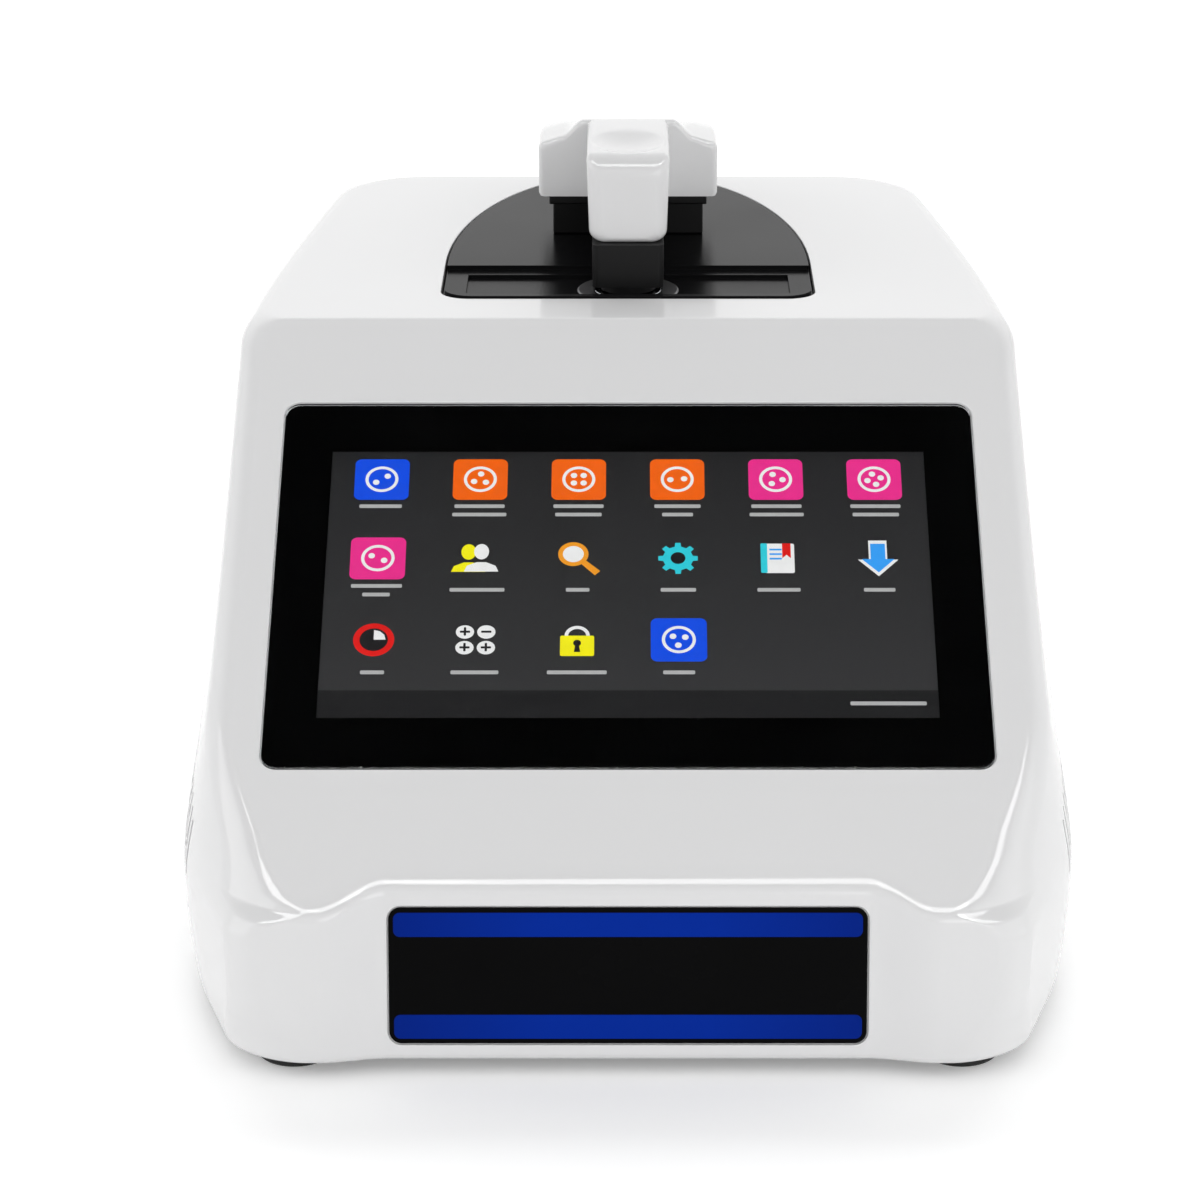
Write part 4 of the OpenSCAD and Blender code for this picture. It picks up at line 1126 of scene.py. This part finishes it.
softEdges = {  # look and width of the edges in millimetres
    "stage_plate": (blackGloss, 0.35), "window_ring": (satinAlloy, 0.15),
    "hinge_tower": (blackSatin, 0.5), "arm_chassis": (blackSatin, 0.4),
    "optics_column": (blackSatin, 0.5), "arm_stop": (rubber, 0.4), "hinge_shaft": (turnedSteel, 0.3),
    "hinge_bush_left": (brass, 0.2), "hinge_bush_right": (brass, 0.2),
    "foot_front_left": (rubber, 0.4), "foot_front_right": (rubber, 0.4),
    "foot_rear_left": (rubber, 0.4), "foot_rear_right": (rubber, 0.4),
    "base_tray": (blackTextured, 0.3), "rear_panel": (blackTextured, 0.3),
    "switch_bezel": (blackSatin, 0.35), "power_rocker": (blackGloss, 0.35),
    "dc_inlet": (blackSatin, 0.25), "usb_ports": (brushedSteel, 0.12),
    "ethernet_port": (brushedSteel, 0.15), "side_usb_port": (brushedSteel, 0.12),
    "fan_frame": (blackTextured, 0.3), "heat_sink": (machinedAlloy, 0.2),
    "optical_bench": (machinedAlloy, 0.5), "camera_bracket": (machinedAlloy, 0.4),
    "motor_coupling": (machinedAlloy, 0.2), "focus_carriage": (blackTextured, 0.4),
    "objective": (brass, 0.2), "screw_bearing": (brass, 0.2), "focus_motor": (darkPaint, 0.6),
    "camera_module": (darkPaint, 0.6), "mirror_mount": (blackTextured, 0.4),
    "tube_lens": (blackSatin, 0.3), "screen_frame": (brushedSteel, 0.25),
    "main_board": (circuitBoard, 0.15), "guide_rod_left": (turnedSteel, 0.4),
    "guide_rod_right": (turnedSteel, 0.4), "lead_screw": (turnedSteel, 0.2),
    "board_posts": (brass, 0.2), "display_ribbon": (ribbonFilm, 0.05),
}
for node, (look, width) in softEdges.items():
    softened(node, look, width)
keptSolids = {
    "screen_mask": maskBlack, "display_panel": panelPicture, "lower_window": windowGlass,
    "upper_window": windowGlass, "condenser_lens": windowGlass, "fold_mirror": mirrorCoat,
    "led_module": phosphor,
}
for node, look in keptSolids.items():
    assign(nodes[node], look)
print("solids dressed")


view = {"back": 0.99382, "up": 0.425, "pitch": 20, "lens": 114.45, "shift": -0.02333}
lens = bpy.data.cameras.new("camera")
lens.lens = view["lens"]
lens.sensor_width = 36
lens.shift_x = view["shift"]
lens.clip_end = 20
eye = bpy.data.objects.new("camera", lens)
eye.location = (0, -view["back"], view["up"])
eye.rotation_euler = (math.radians(90 - view["pitch"]), 0, 0)
scene.collection.objects.link(eye)
scene.camera = eye


lamps = {  # degrees round and up, distance, size, power
    "edgeLeft": (-44, 58, 1.9, (1.3, 0.45), 12),
    "edgeFront": (16, 60, 1.9, (1.0, 0.45), 8.5),
    "edgeRight": (56, 58, 1.9, (1.2, 0.45), 10),
    "frontLow": (20, 12, 2.2, (1.2, 0.8), 7.4),
    "right": (75, 20, 2.2, (1.8, 1.8), 7),
    "left": (-80, 16, 2.2, (1.8, 1.8), 13),
    "rear": (178, 42, 2.4, (2.8, 1.0), 32),
}
onlyMirrored = ("edgeLeft", "edgeFront", "edgeRight")  # light nothing, seen as highlights
neverMirrored = ("rear",)


def lamp(name, azimuth, elevation, distance, size, power):
    light = bpy.data.lights.new(name, "AREA")
    light.shape = "RECTANGLE"
    light.size, light.size_y = size
    light.energy = power
    obj = bpy.data.objects.new(name, light)
    a = math.radians(azimuth)
    e = math.radians(elevation)
    aim = Vector((0, 0, 0.08))
    away = Vector((math.sin(a) * math.cos(e), -math.cos(a) * math.cos(e), math.sin(e)))
    obj.location = aim + distance * away
    obj.rotation_euler = (-away).to_track_quat("-Z", "Y").to_euler()
    obj.visible_glossy = name not in neverMirrored
    obj.visible_diffuse = name not in onlyMirrored
    scene.collection.objects.link(obj)


for name, facts in lamps.items():
    lamp(name, *facts)


# One for rays from the camera, a mirror or glass
def backdropRays(tree):
    path = tree.nodes.new("ShaderNodeLightPath")
    total = path.outputs["Is Camera Ray"]
    for ray in ("Is Glossy Ray", "Is Transmission Ray"):
        add = tree.nodes.new("ShaderNodeMath")
        add.use_clamp = True
        tree.links.new(total, add.inputs[0])
        tree.links.new(path.outputs[ray], add.inputs[1])
        total = add.outputs["Value"]
    return total


room = {
    "light": 0.6, "ceiling": 0.008, "ceilingStart": 0.45, "ceilingEnd": 0.8,
    "floorReach": 6, "floorGlow": 0.2, "floorTone": 0.95, "floorNear": 0.5, "floorFar": 1.4,
}


# Even light, seen as a white backdrop with a dark ceiling
def makeWorld():
    world = bpy.data.worlds.new("room")
    scene.world = world
    world.use_nodes = True
    tree = world.node_tree
    tree.nodes.clear()
    way = tree.nodes.new("ShaderNodeTexCoord").outputs["Generated"]
    split = tree.nodes.new("ShaderNodeSeparateXYZ")
    tree.links.new(way, split.inputs["Vector"])
    up = ranged(tree, split.outputs["Z"], 0, 1, room["ceilingStart"], room["ceilingEnd"])
    seen = tree.nodes.new("ShaderNodeBackground")
    tree.links.new(blendColours(tree, up, (1, 1, 1), (room["ceiling"],) * 3), seen.inputs["Color"])
    light = tree.nodes.new("ShaderNodeBackground")
    light.inputs["Strength"].default_value = room["light"]
    light.inputs["Color"].default_value = (1, 1, 1, 1)
    choose = tree.nodes.new("ShaderNodeMixShader")
    tree.links.new(backdropRays(tree), choose.inputs["Fac"])
    tree.links.new(light.outputs["Background"], choose.inputs[1])
    tree.links.new(seen.outputs["Background"], choose.inputs[2])
    out = tree.nodes.new("ShaderNodeOutputWorld")
    tree.links.new(choose.outputs["Shader"], out.inputs["Surface"])


# Floor with shadows near the part, white far off
def makeFloor():
    reach = room["floorReach"]
    corners = [(-reach, -reach, 0), (reach, -reach, 0), (reach, reach, 0), (-reach, reach, 0)]
    mesh = bpy.data.meshes.new("floor")
    mesh.from_pydata(corners, [], [(0, 1, 2, 3)])
    floor = newObject("floor", mesh)
    material, tree, surface, place = shader("paleFloor")
    surface.inputs["Roughness"].default_value = 0.7
    surface.inputs["Specular IOR Level"].default_value = 0.1
    surface.inputs["Emission Color"].default_value = (1, 1, 1, 1)
    away = tree.nodes.new("ShaderNodeVectorMath")
    away.operation = "LENGTH"
    tree.links.new(place, away.inputs[0])
    far = ranged(tree, away.outputs["Value"], 0, 1, room["floorNear"], room["floorFar"])
    pale = (room["floorTone"],) * 3
    tree.links.new(blendColours(tree, far, pale, (0, 0, 0)), surface.inputs["Base Color"])
    glow = tree.nodes.new("ShaderNodeMath")
    glow.operation = "MULTIPLY"
    tree.links.new(ranged(tree, far, room["floorGlow"], 1, 0, 1), glow.inputs[0])
    tree.links.new(backdropRays(tree), glow.inputs[1])
    tree.links.new(glow.outputs["Value"], surface.inputs["Emission Strength"])
    assign(floor, material)


makeWorld()
makeFloor()
scene.view_settings.view_transform = "Standard"
print("camera, light and floor made")
